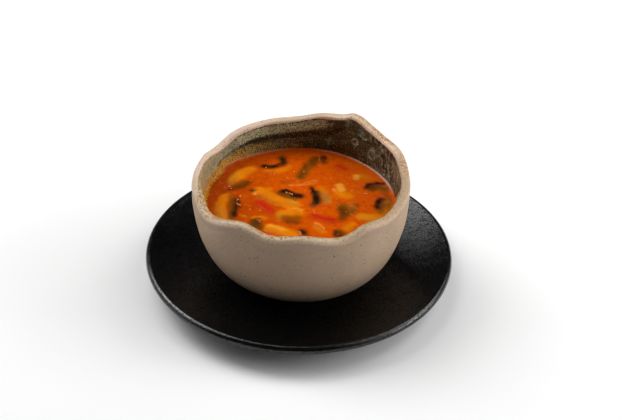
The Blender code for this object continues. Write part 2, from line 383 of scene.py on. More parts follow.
# Radius and height of the foot ring's section in metres, from the recess inside it to its edge.
SAUCER_FOOT = ((0.0200, 0.0030), (0.0400, 0.0030), (0.0465, 0.0030), (0.0476, 0.0022), (0.0483, 0.0008),
               (0.0492, 0.0001), (0.0500, 0.0), (0.0552, 0.0), (0.0560, 0.0002), (0.0566, 0.0010))
# The plate's height grows with this power of the way from the well to the lip.
COUPE_CURVE = 1.7
# A faint turned step lies this far out from the well to the lip, half its width, and its depth.
TURNED_STEP = (0.93, 0.012, 0.00022)
# The rim's slight sag: depth in metres, how many times round, and the angle where it starts.
SAG = ((0.00012, 2, 0.7), (0.00008, 3, 0.0))
SAUCER_COLUMNS = 360


def saucer_profile(choice):
    """Radius and height of the saucer's rings, from under its middle over the lip to the well."""
    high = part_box("saucer")[1]
    well, lip = Vector((choice.well_radius, choice.well_height)), choice.lip_radius
    lip_centre = Vector((high.x - lip, high.z - lip))
    under = well.y - choice.thickness
    place, half, depth = TURNED_STEP

    def upper(share):
        """Radius and height of the plate's top, a share of the way from the well to the lip."""
        return well.x + (lip_centre.x - well.x) * share, well.y + (high.z - well.y) * share**COUPE_CURVE

    rings = [*SAUCER_FOOT, (0.0573, under - 0.0007), (0.0590, under + 0.0002)]
    for share in np.linspace(0.18, 0.80, 14):
        radius, height = upper(share)
        rings.append((radius, height - choice.thickness))
    for turn in np.radians(np.linspace(-78, 88, 21)):
        rings.append((lip_centre.x + lip * cos(turn), lip_centre.y + lip * sin(turn)))
    for share in np.linspace(0.985, 0.0, 30):
        radius, height = upper(share)
        rings.append((radius, height - depth * bump_at(share, place, half)))
    rings += [(radius, well.y) for radius in (0.049, 0.043, 0.034, 0.022, 0.010)]
    return np.array(rings)


def black_glaze(choice):
    """Black glaze with gentle waves and fine dull pits that take its shine away."""
    glaze = Recipe("black satin glaze")
    pits = glaze.clouds(1.1, roughness=0.6)
    waves = glaze.clouds(14.0, detail=1.0)
    pocks = glaze.grains(1.8, 0.85, 0.60).most(glaze.grains(1.2, 0.60, 0.42))
    return glaze.surface(
        Base_Color=glaze.mix(waves, tuple(choice.glaze), (0.0040, 0.0040, 0.0040)),
        Roughness=choice.roughness + (pits - 0.5) * 0.15 + (waves - 0.5) * 0.08,
        Metallic=pocks * 0.85,
        Normal=glaze.relief(pits * 0.14 + waves * 0.25),
        Specular_IOR_Level=0.55,
    )


class TOMYUM_OT_saucer(bpy.types.Operator):
    """Turn the black saucer"""

    bl_idname = "tomyum.saucer"
    bl_label = "Saucer"

    def execute(self, context):
        choice = context.scene.tomyum_saucer
        profile = saucer_profile(choice)
        turn = round_turns(SAUCER_COLUMNS)
        radius, height = (np.repeat(column[:, None], SAUCER_COLUMNS, 1) for column in profile.T)
        sag = sum(depth * np.sin(count * turn + start) for depth, count, start in SAG)
        height = height + sag * smooth(radius, 0.06, 0.10)
        points = with_poles(turned_grid(radius, height))
        faces = turned_faces(len(profile), SAUCER_COLUMNS)
        make_piece("saucer_glazed", points, faces, black_glaze(choice), {}, "black_glaze", ["saucer"])
        return {"FINISHED"}


# ---------------------------------------------------------------- bowl


class BowlSettings(bpy.types.PropertyGroup):
    """Sizes and glazes of the stoneware bowl."""

    sand: FloatVectorProperty(
        name="Sand", description="Colour of the sand glaze outside", subtype="COLOR", size=3,
        min=0.0, max=1.0, default=paint(164, 139, 115))
    lip: FloatVectorProperty(
        name="Lip", description="Colour of the bare pinkish lip", subtype="COLOR", size=3,
        min=0.0, max=1.0, default=paint(202, 177, 150))
    beige: FloatVectorProperty(
        name="Beige", description="Colour of the plain glaze inside", subtype="COLOR", size=3,
        min=0.0, max=1.0, default=paint(170, 150, 112))
    speck: FloatVectorProperty(
        name="Specks", description="Colour of the iron specks", subtype="COLOR", size=3,
        min=0.0, max=1.0, default=paint(36, 25, 16))
    lip_radius: FloatProperty(
        name="Lip radius", description="Radius of the rolled lip", subtype="DISTANCE",
        unit="LENGTH", default=0.0030)
    lip_fullness: FloatProperty(
        name="Lip fullness", description="How square the rolled lip is; 2 is round", min=2.0, max=4.0,
        default=2.5)
    groove: FloatProperty(
        name="Groove", description="Depth of the pressed groove under the lip", subtype="DISTANCE",
        unit="LENGTH", default=0.00020)
    floor: FloatProperty(
        name="Floor height", description="Height of the inside's floor", subtype="DISTANCE",
        unit="LENGTH", default=0.0170)


# The round belly: a superellipse between two heights, with a power for each direction. It starts at
# a radius by the foot, and from a second radius on its rings go up by height.
BELLY_BASE = 0.0085
BELLY_TOP = 0.0685
ROUNDNESS = 2.05
SQUARENESS = 4.2
BELLY_START = 0.0261
BELLY_STEEP = 0.0600
# The bowl's foot ring: radius, and height over the lowest point of the bowl.
BOWL_FOOT = ((0.0080, 0.0015), (0.0150, 0.0015), (0.0163, 0.0012), (0.0170, 0.0004),
             (0.0177, 0.0), (0.0236, 0.0), (0.0244, 0.0001), (0.0249, 0.0004))
# Dents left by the hand: depth and size in metres, and seed.
DENTS = ((0.00022, 0.016, 5.0),)
# Height over which the hand-formed wall and lip stand.
UPPER_WALL = 0.0600
# The wall outside starts to follow the lip's wave at one height, and follows it wholly at another.
WAVE_START = 0.0200
WAVE_FULL = 0.0680
# Under the crest of the lip: the pressed groove and the swell over it, each with how far down it lies
# and half its height.
GROOVE = (0.0078, 0.0018)
SWELL = (0.0036, 0.0022)
BOWL_COLUMNS = 480
LIP_STEPS = 17

# Glazes poured over the beige inside, in order: colour, colour in the mottles, width in
# millimetres over which an edge fades.
GLAZES = {
    "earth": (paint(112, 108, 84), paint(18, 18, 7), 5.2),
    "moss": (paint(82, 84, 58), paint(46, 50, 30), 5.5),
    "umber": (paint(74, 58, 28), paint(38, 30, 8), 4.0),
    "teal": (paint(20, 32, 22), paint(34, 36, 20), 3.0),
    "slate": (paint(136, 152, 144), paint(76, 90, 82), 2.2),
    "ash": (paint(180, 188, 166), paint(112, 116, 96), 2.0),
    "gold": (paint(176, 150, 80), paint(70, 66, 34), 5.5),
    "ochre": (paint(206, 146, 46), paint(158, 104, 34), 4.2),
    "sage": (paint(194, 198, 160), paint(128, 132, 98), 5.0),
    "mint": (paint(216, 236, 190), paint(140, 156, 110), 4.6),
    "celadon": (paint(148, 150, 124), paint(132, 130, 98), 3.8),
    "rose": (paint(190, 154, 130), paint(168, 128, 100), 2.6),
    "toffee": (paint(150, 106, 60), paint(172, 134, 92), 3.2),
}

# Pours of each glaze on the inside: half the pour's width in mm, its strength, and the places it
# runs through, each as an angle in degrees and a height in mm.
POURS = {
    "earth": (
        (4.0, 1.0, 5, 60, 24, 60, 46, 60),
        (4.0, 1.0, 6, 66, 24, 66, 46, 66),
        (3.2, 1.0, 13, 70, 24, 71, 46, 72),
        (2.4, 0.9, 17, 75, 28, 75, 46, 77),
        (2.6, 0.6, 2, 70, 8, 73, 14, 75),
        (3.6, 1.0, -6, 68, 0, 74, 8, 78, 16, 80, 28, 81),
        (2.4, 1.0, 20, 77, 34, 77, 46, 79),
    ),
    "umber": (
        (1.4, 1.0, 0.5, 69, 3.5, 63, 7, 57),
        (0.9, 0.8, -2, 71, 4, 75, 9, 77.4),
        (0.8, 0.7, 13, 77.5, 19, 79),
        (1.2, 0.8, 10, 60, 14, 59, 20, 58, 30, 57.6),
        (1.3, 0.7, 20, 69, 24, 65, 28, 62, 31, 60),
        (1.0, 0.7, 11, 67, 17, 62),
        (1.0, 0.6, 18, 75.5, 21, 71.5),
        (3.2, 0.85, 48, 60, 60, 62, 70, 61),
        (1.6, 0.7, 35, 68, 38, 64, 42, 60),
        (2.2, 0.6, 45, 71, 52, 67, 60, 66.5),
    ),
    "moss": (
        (6.0, 1.0, 44, 62, 70, 62, 100, 60),
        (4.0, 0.9, 98, 62.5, 118, 62.5, 134, 64.5),
        (4.5, 1.0, 68, 74, 82, 73, 98, 70.5, 116, 69.5, 134, 67.5),
        (5.0, 1.0, 47, 71, 70, 72, 98, 67),
        (3.6, 1.0, 49, 79, 56, 80, 64, 79),
        (2.0, 1.0, 53, 83, 58, 84, 62, 82.5),
        (2.0, 0.9, 36, 73, 42, 74),
        (3.4, 1.0, 64, 81, 69, 78, 71, 75),
        (2.4, 0.9, 68, 81, 74, 79),
    ),
    "teal": (
        (1.0, 0.8, 40, 76, 45, 74.5, 50, 73.6, 53, 75),
        (0.8, 0.6, 46, 65, 48, 62, 45, 59),
        (0.9, 0.6, 55, 76.5, 58, 79, 58, 82),
        (1.3, 1.0, 64, 77.6, 68, 74.4, 72.5, 71.2, 79, 69.9, 88, 69.6),
        (1.6, 1.0, 86, 69, 97, 67.6, 104, 66.8),
        (1.9, 0.9, 104, 66.8, 112, 67.0, 119, 67.6, 125, 67.2, 131, 66.4),
        (0.9, 0.75, 130, 66.6, 142, 64.4, 151, 63.2),
    ),
    "slate": (
        (1.8, 1.0, 51, 79.5, 51.5, 77.5),
        (1.9, 0.45, 84, 65.2, 92, 64.4, 106, 63.6),
        (1.4, 0.7, 60, 83.5, 62, 80.5),
        (1.1, 0.8, 72.5, 67.5, 73.6, 62.5),
        (0.7, 0.7, 70.5, 65.6, 75.5, 66.2),
    ),
    "ash": (
        (1.1, 0.8, 47.5, 75.6, 49.5, 75),
        (0.7, 0.7, 61, 84.6, 63.6, 83),
        (0.6, 0.6, 73, 65, 73.6, 62.5),
        (0.8, 0.6, 32.5, 76.5, 33.5, 74.5),
    ),
    "rose": (
        (1.2, 0.40, 26, 75, 28, 71.5),
        (0.6, 0.45, 28, 76.6, 36, 77.4, 42, 78.2),
        (1.5, 0.40, 14, 74.5, 20, 73.5, 25, 72),
        (0.5, 0.30, 76, 80.4, 80, 79.8, 86, 78.6),
        (1.4, 0.5, 171, 65, 176, 69.5),
        (1.6, 0.6, 138, 72.5, 146, 70.6, 152, 71.5),
    ),
    "gold": (
        (3.4, 0.5, 92, 60, 104, 60.5),
        (3.4, 0.85, 108, 60, 120, 61, 131, 61.5),
        (1.6, 0.6, 122, 64.6, 136, 65.0),
        (1.6, 0.7, 133, 64, 146, 62.4),
    ),
    "ochre": (
        (1.9, 0.9, 127, 59.5, 140, 60.5, 152, 60, 166, 60, 180, 59.5, 190, 59),
        (1.6, 0.9, 132, 63, 134, 61),
        (1.2, 0.8, 144, 62.5, 150, 60.6, 153, 60),
    ),
    "sage": (
        (2.0, 0.5, 71, 78.2, 74, 78.2, 78, 77.8),
        (3.7, 1.0, 77.5, 77.6, 84, 76.2, 94, 74.4, 106, 73.2),
        (3.0, 1.0, 104, 73, 118, 72.3, 127, 71.2, 132, 70.2),
    ),
    "mint": (
        (2.0, 0.75, 79, 77.6, 85, 76.2, 92, 75.0, 98, 74.4),
    ),
    "celadon": (
        (3.4, 0.7, 134, 69.6, 150, 67.6, 166, 67.4),
        (2.2, 0.55, 151, 68, 152.5, 68.6),
        (2.4, 0.5, 160, 68.4, 162, 69.6),
    ),
    "toffee": (
        (1.6, 0.8, 187, 59, 194, 65, 200, 71),
        (1.2, 0.7, 191, 58, 203, 70),
        (0.8, 0.6, 176, 60, 182, 66),
        (0.8, 0.6, 168, 60.6, 173, 63.6),
        (0.7, 0.7, 202, 72.6, 210, 72, 216, 73),
    ),
}

# Pale rings in the dark glaze: angle, height in mm, half width and half height in mm, strength.
GLAZE_RINGS = (
    (55.8, 70.2, 2.9, 3.4, 1.0),
    (41.5, 67.4, 3.4, 4.8, 0.8),
    (42.5, 63.8, 1.8, 2.6, 0.6),
    (51.4, 78.6, 3.2, 3.4, 0.5),
    (20.0, 69.8, 1.4, 2.6, 0.8),
    (25.0, 67.4, 1.5, 2.2, 0.8),
    (28.8, 71.8, 1.6, 2.4, 0.6),
    (22.5, 63.0, 1.7, 2.4, 0.9),
    (28.5, 61.4, 1.5, 2.4, 0.9),
    (33.0, 64.0, 1.3, 2.2, 0.7),
    (35.6, 70.6, 1.5, 2.0, 0.6),
    (12.5, 65.0, 1.6, 2.0, 0.8),
    (16.0, 66.4, 1.4, 1.8, 0.7),
    (13.8, 61.6, 1.6, 1.8, 0.8),
    (9.0, 70.0, 1.5, 2.2, 0.7),
    (14.5, 73.0, 1.5, 1.8, 0.7),
    (62.5, 75.6, 1.6, 1.8, 0.5),
    (49.5, 61.0, 2.2, 2.2, 0.45),
)

# How far a ring is shaken out of round, as a share of its half width.
RING_SHAKE = 0.45

# Where the bare lip ends, in mm over the lip from its crest towards the inside, at angles in degrees.
LIP_EDGE = ((-90, 0.0), (-30, 0.8), (-5, 3.0), (10, 5.0), (20, 5.2), (30, 4.8), (40, 4.6), (58, 4.4),
            (75, 4.6), (85, 3.9), (100, 4.4), (110, 4.2), (125, 4.6), (145, 3.4), (165, 2.2), (185, 1.2),
            (194, 0.0), (200, -2.4), (218, -2.4), (226, 0.0), (245, 0.0), (255, -1.8), (265, -0.6),
            (270, 0.0))

# Stretches round the lip and the wall under it, each with its from and to angle, fade in degrees and
# strength: where the edge of the glaze is loose, the inside has ochre freckles, the inner lip is
# lightened by painted light, the lip is rusty and rosy in places and darkened by painted shade on
# the right, and a dark line runs along the edge of the glaze.
STRETCHES = {
    "loose": ((196, 300, 20, 1.0), (-60, -4, 16, 1.0)),
    "freckles": ((190, 222, 10, 1.0), (250, 268, 6, 1.0), (225, 340, 20, 0.4)),
    # Painted light on the inner face of the lip.
    "pale": ((18, 78, 16, 1.0), (70, 150, 20, 0.15)),
    "rust": ((4, 16, 7, 1.0), (28, 45, 8, 1.0), (46, 64, 8, 0.5)),
    # Painted shade that darkens the lip on the right.
    "painted_shade_lip": ((-70, 12, 40, 1.0),),
    "rosy": ((112, 180, 14, 1.0),),
    "line": ((4, 44, 6, 1.0), (68, 132, 8, 1.0), (158, 194, 8, 0.6)),
}


def belly_radius(height, base, top, full):
    """Radius of a belly at a height; full is its radius at the top."""
    share = np.clip((height - base) / (top - base), 0.0, 1.0)
    return full * (1 - (1 - share) ** ROUNDNESS) ** (1 / SQUARENESS)


def belly_height(radius, base, top, full):
    """Height of a belly at a radius."""
    return base + (top - base) * (1 - (1 - (radius / full) ** SQUARENESS) ** (1 / ROUNDNESS))


def lip_line():
    """Height and radius of the lip's crest all round, read from the solid bowl."""
    points = node_points("bowl")
    points = points[points[:, 2] > UPPER_WALL]
    columns = 60
    turn = np.arctan2(points[:, 1], points[:, 0])
    place = np.round(turn * columns / (2 * pi)).astype(int) % columns
    around = [points[place == k] for k in range(columns)]
    crest = np.array([there[np.argmax(there[:, 2])] for there in around])
    radius = np.hypot(crest[:, 0], crest[:, 1])
    return round_curve(crest[:, 2], BOWL_COLUMNS), round_curve(radius, BOWL_COLUMNS)


def foot_centre():
    """Middle of the ring that the bowl stands on."""
    points = node_points("bowl")
    low = points[points[:, 2] < points[:, 2].min() + 0.0001]
    return 0.5 * (low[:, :2].min(0) + low[:, :2].max(0))


def bowl_axis(height):
    """Middle of the bowl at each height: the foot stands a little off the lip's centre."""
    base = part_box("bowl")[0].z
    share = np.clip((UPPER_WALL - height) / (UPPER_WALL - base), 0.0, 1.0)
    middle = foot_centre()
    return middle[0] * share, middle[1] * share


def bowl_profile(choice):
    """Radius and height of every ring of the bowl, and the number of the ring on the crest."""
    crest, middle = lip_line()
    wave = middle - middle.mean()
    turn = round_turns(BOWL_COLUMNS)
    around = np.stack([np.cos(turn), np.sin(turn), np.zeros_like(turn)], -1) * 0.066
    lip = choice.lip_radius * (1 + 0.06 * wander(around, 0.012, 3.1))
    rim = crest - choice.lip_radius
    full = middle.mean() + choice.lip_radius
    rings = []

    def flat(radius, height):
        rings.append((np.full_like(turn, radius), np.full_like(turn, height)))

    def growth(height, start):
        return np.clip((height - start) / (WAVE_FULL - start), 0.0, 1.0)

    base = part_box("bowl")[0].z
    for radius, height in BOWL_FOOT:
        flat(radius, base + height)
    for radius in np.linspace(BELLY_START, BELLY_STEEP, 24):
        flat(radius, belly_height(radius, BELLY_BASE, BELLY_TOP, full))
    start = rings[-1][1]
    for share in np.linspace(0, 1, 40)[1:]:
        height = start + (rim - start) * share * (1.35 - 0.35 * share)
        press = choice.groove * (bump_at(crest - height, *GROOVE) - 0.5 * bump_at(crest - height, *SWELL))
        radius = belly_radius(height, BELLY_BASE, BELLY_TOP, full) + wave * growth(height, WAVE_START)
        rings.append((radius - press, height))
    power = 2.0 / choice.lip_fullness
    for bend in np.radians(np.linspace(0, 180, LIP_STEPS))[1:]:
        across, up = cos(bend), abs(sin(bend))
        out = np.sign(across) * abs(across) ** power
        rings.append((middle + lip * out, rim + choice.lip_radius * up**power))
    crest_ring = len(rings) - 1 - LIP_STEPS // 2
    inside = middle - lip
    for share in np.linspace(0, 1, 42)[1:] ** 1.15:
        height = rim + (SOUP_LEVEL - rim) * share
        radius = (inside - wave) * (1 - share) + WALL_RADIUS * share
        rings.append((radius + wave * growth(height, SOUP_LEVEL), height))
    for share in np.linspace(0, 0.6, 8)[1:]:
        height = SOUP_LEVEL + (choice.floor - SOUP_LEVEL) * share
        flat(belly_radius(height, choice.floor, SOUP_LEVEL, WALL_RADIUS), height)
    for radius in np.linspace(rings[-1][0][0] - 0.003, 0.006, 9):
        flat(radius, belly_height(radius, choice.floor, SOUP_LEVEL, WALL_RADIUS))
    radius, height = np.array(rings).transpose(1, 0, 2)
    return radius, height, crest_ring


def glaze_zones(grid, run):
    """Where each glaze and tint lies on the bowl, from 0 to 1; run is the way over the lip in mm."""
    turn = np.degrees(np.arctan2(grid[..., 1], grid[..., 0]))
    turn = np.where(turn < -90.0, turn + 360.0, turn)
    level = grid[..., 2] / MM
    degree = pi / 180 * WALL_RADIUS / MM
    strokes = [(glaze, half, strength, stops_of(route) * (degree, 1.0))
               for glaze, rows in POURS.items() for half, strength, *route in rows]
    wobble = 0.7 * wander(grid, 0.0048, 4.1, 3).ravel()
    fades = {glaze: fade for glaze, (_tint, _mottle, fade) in GLAZES.items()}
    shares = brushed((turn * degree).ravel(), level.ravel(), strokes, fades, wobble)
    zones = {glaze: share.reshape(turn.shape) for glaze, share in shares.items()}
    sway, shift = wander(grid, 0.009, 1.7, 3), wander(grid, 0.004, 7.3, 2)
    for place, middle, half_width, half_height, strength in GLAZE_RINGS:
        beside = (turn - place) * degree / half_width + RING_SHAKE * shift
        above = (level - middle) / half_height + RING_SHAKE * sway
        away = np.hypot(beside, above)
        ring = bump_at(away, 0.84, 0.30) + 0.30 * bump_at(away, 0.0, 0.60)
        zones["ash"] = np.maximum(zones["ash"], 0.70 * strength * ring)
    zones.update({name: stretch(turn, rows) for name, rows in STRETCHES.items()})
    inside = run > 0.0
    zones["line"] *= inside
    # The painted light lies inside the crest only.
    zones["pale"] *= inside * smooth(run, 0.5, 2.0)
    zones["rust"] = smooth(zones["rust"] * bump_at(run, -1.0, 2.8), 0.0, 0.7)
    zones["painted_shade_lip"] *= bump_at(run, 0.0, 6.0)
    zones["run"] = run
    zones["beyond"] = run - np.interp(turn, *np.array(LIP_EDGE).T) - 0.30 * wander(grid, 0.006, 1.7)
    return zones


def sand_outside(clay, choice, soft, patch, fine):
    """The sand glaze outside, darkened near the foot by painted shade, with drifts of warmer and cooler
    tone.
    """
    # Painted shade: the dim copy of the sand covers the low part of the bowl, near the foot.
    sand, dim = tuple(choice.sand), tuple(0.68 * part for part in choice.sand)
    tone = clay.mix(clay.height().rise(0.020, 0.048), dim, sand)
    blotches = soft.rise(0.30, 0.70) * 0.25 + patch.rise(0.50, 0.72) * 0.25
    tone = clay.mix(blotches, tone, tuple(0.80 * part for part in sand))
    tone = clay.mix(fine.rise(0.35, 0.75) * 0.30, tone, paint(190, 168, 144))
    tone = clay.mix(fine.rise(0.48, 0.30) * 0.22, tone, paint(120, 100, 82))
    drift = clay.clouds(8.0, place=clay.stretched(1.0, 1.0, 1.6))
    tone = clay.mix(drift.rise(0.54, 0.74) * 0.40, tone, paint(176, 144, 104))
    return clay.mix(drift.rise(0.46, 0.28) * 0.40, tone, paint(162, 136, 122))


def bare_lip(clay, choice, sand, on_lip, patch):
    """The bare clay of the lip laid over the sand, with its rusty and rosy stretches, painted light on the
    inner lip and painted shade on the right.
    """
    bare = clay.mix(patch.rise(0.35, 0.65), tuple(choice.lip), paint(194, 168, 140))
    bare = clay.mix(clay.mask("rosy") * 0.7, bare, paint(214, 186, 168))
    tone = clay.mix(on_lip, sand, bare)
    # Painted light: the inner face of the lip is lightened.
    tone = clay.mix(clay.mask("pale"), tone, paint(238, 210, 180))
    # Painted shade: the lip on the right is darkened.
    tone = clay.mix(clay.mask("painted_shade_lip") * 0.55, tone, paint(160, 128, 94))
    rust = clay.mask("rust")
    tone = clay.mix(rust * patch.rise(0.40, 0.60) * 0.70, tone, paint(176, 130, 74))
    tone = clay.mix(rust * clay.grains(1.2, 0.85, 0.46), tone, paint(168, 92, 18))
    return clay.mix(rust * clay.grains(1.6, 0.50, 0.36), tone, paint(104, 62, 26))


def poured_inside(clay, choice, loose, patch, fine):
    """The poured glazes inside, each broken up by its mottles, with freckles, pepper and salt."""
    streaky = clay.clouds(2.2, roughness=0.6, place=clay.stretched(1.0, 1.0, 0.6))
    tone = clay.mix(patch.rise(0.3, 0.7), tuple(choice.beige), paint(160, 140, 98))
    for name, (tint, mottle, _fade) in GLAZES.items():
        grain = streaky if name == "earth" else fine
        body = clay.mix(grain.rise(0.58, 0.42), tint, mottle)
        share = (clay.mask(name) * (0.2 + patch * 0.4 + fine * 1.2)).rise(0.2, 0.8)
        tone = clay.mix(share, tone, body)
    freckle = clay.mix(clay.clouds(1.7).rise(0.42, 0.56), paint(172, 126, 66), paint(200, 174, 140))
    freckle = clay.mix(clay.grains(1.5, 0.78, 0.44), freckle, paint(66, 42, 22))
    tone = clay.mix(clay.mask("freckles") * patch.rise(0.22, 0.38), tone, freckle)
    pepper = clay.grains(1.3, 0.65, 0.44).most(clay.grains(0.8, 0.55, 0.26)) * (1.0 - loose * 0.6)
    tone = clay.mix(pepper * 0.85, tone, paint(18, 16, 8))
    salt = clay.grains(0.9, 0.38, 0.26) * clay.mask("moss").most(clay.mask("gold")) * 0.9
    return clay.mix(salt, tone, paint(182, 170, 124))


def iron_specks(clay, on_lip):
    """Iron specks outside: large and small in clusters, and fine ones on the lip."""
    clusters = clay.clouds(9.0, detail=1.0).rise(0.42, 0.58)
    large = clay.grains(2.7, 0.46, 0.43) * (0.35 + clusters * 0.65)
    small = clay.grains(1.7, 0.50, 0.26) * clusters * 0.8
    return large.most(small).most(clay.grains(1.3, 0.50, 0.32) * on_lip * 0.8)


def stoneware(choice):
    """Sand outside, bare pinkish lip, and poured, mottled glazes inside."""
    clay = Recipe("stoneware glazes")
    soft = clay.clouds(16.0)
    patch = clay.clouds(3.2, detail=3.0, roughness=0.6)
    fine = clay.clouds(0.8, roughness=0.65)
    on_lip = clay.mask("run").rise(-5.6, -3.4)
    loose = clay.mask("loose")
    sway = (patch - 0.5) * (0.8 + loose * 5.0) + (fine - 0.5) * (1.4 + loose * 4.0)
    beyond = clay.mask("beyond") + sway
    inner = beyond.rise(-0.25, 0.25)
    tone = bare_lip(clay, choice, sand_outside(clay, choice, soft, patch, fine), on_lip, patch)
    tone = clay.mix(inner, tone, poured_inside(clay, choice, loose, patch, fine))
    line = beyond.rise(-0.55, -0.25) * beyond.rise(0.50, 0.20) * clay.mask("line")
    tone = clay.mix(line * clay.clouds(1.3).rise(0.40, 0.50), tone, paint(26, 16, 8))
    specks = iron_specks(clay, on_lip) * (1.0 - inner)
    tone = clay.mix(specks * 0.9, tone, tuple(choice.speck))
    return clay.surface(
        Base_Color=tone,
        Roughness=0.62 + (fine - 0.5) * 0.2 - on_lip * 0.14 - inner * 0.10,
        Normal=clay.relief(fine * 0.06 + patch * 0.10 + soft * 0.5 - specks * 0.03),
        Specular_IOR_Level=0.34,
    )


class TOMYUM_OT_bowl(bpy.types.Operator):
    """Press the stoneware bowl with its wavy lip"""

    bl_idname = "tomyum.bowl"
    bl_label = "Bowl"

    def execute(self, context):
        choice = context.scene.tomyum_bowl
        radius, height, crest_ring = bowl_profile(choice)
        grid = turned_grid(radius, height, bowl_axis)
        outward = grid * (1.0, 1.0, 0.0)
        outward /= np.maximum(np.linalg.norm(outward, axis=-1, keepdims=True), 1e-6)
        wet = (np.arange(len(radius)) > crest_ring + LIP_STEPS // 2)[:, None]
        soaked = wet * (1.0 - smooth(height, SOUP_LEVEL - 0.002, SOUP_LEVEL + 0.001))
        dents = lumps(grid, DENTS) * smooth(height, 0.012, 0.03) * (1.0 - 0.6 * soaked)
        grid = grid + outward * dents[..., None]
        steps = np.linalg.norm(np.diff(grid, axis=0), axis=-1)
        run = np.concatenate([np.zeros((1, BOWL_COLUMNS)), np.cumsum(steps, 0)])
        run = (run - run[crest_ring]) / MM
        masks = {name: with_poles(value) for name, value in glaze_zones(grid, run).items()}
        points, faces = with_poles(grid), turned_faces(len(radius), BOWL_COLUMNS)
        make_piece("bowl_stoneware", points, faces, stoneware(choice), masks, "sand_stoneware", ["bowl"])
        return {"FINISHED"}


# ---------------------------------------------------------------- what shows in the soup


# Colours that show in the cloudy broth, in the order in which they lie over each other,
# each with the width in millimetres over which its edge fades.
TINTS = {
    "glow": (paint(206, 92, 3), 9.0),
    "ruddy": (paint(172, 48, 5), 8.0),
    "amber": (paint(222, 122, 4), 5.0),
    "ochre": (paint(204, 128, 20), 5.0),
    "tan": (paint(180, 108, 36), 5.0),
    "cream": (paint(236, 154, 46), 3.2),
    "olive": (paint(124, 70, 6), 5.0),
    "brown": (paint(104, 50, 5), 5.0),
    "smoke": (paint(78, 48, 18), 5.0),
    "black": (paint(34, 17, 7), 3.4),
    "ember": (paint(238, 128, 50), 1.6),
    "red": (paint(192, 30, 10), 5.0),
}
# Of these, the ones with a broken edge.
RAGGED = ("smoke", "black", "red")

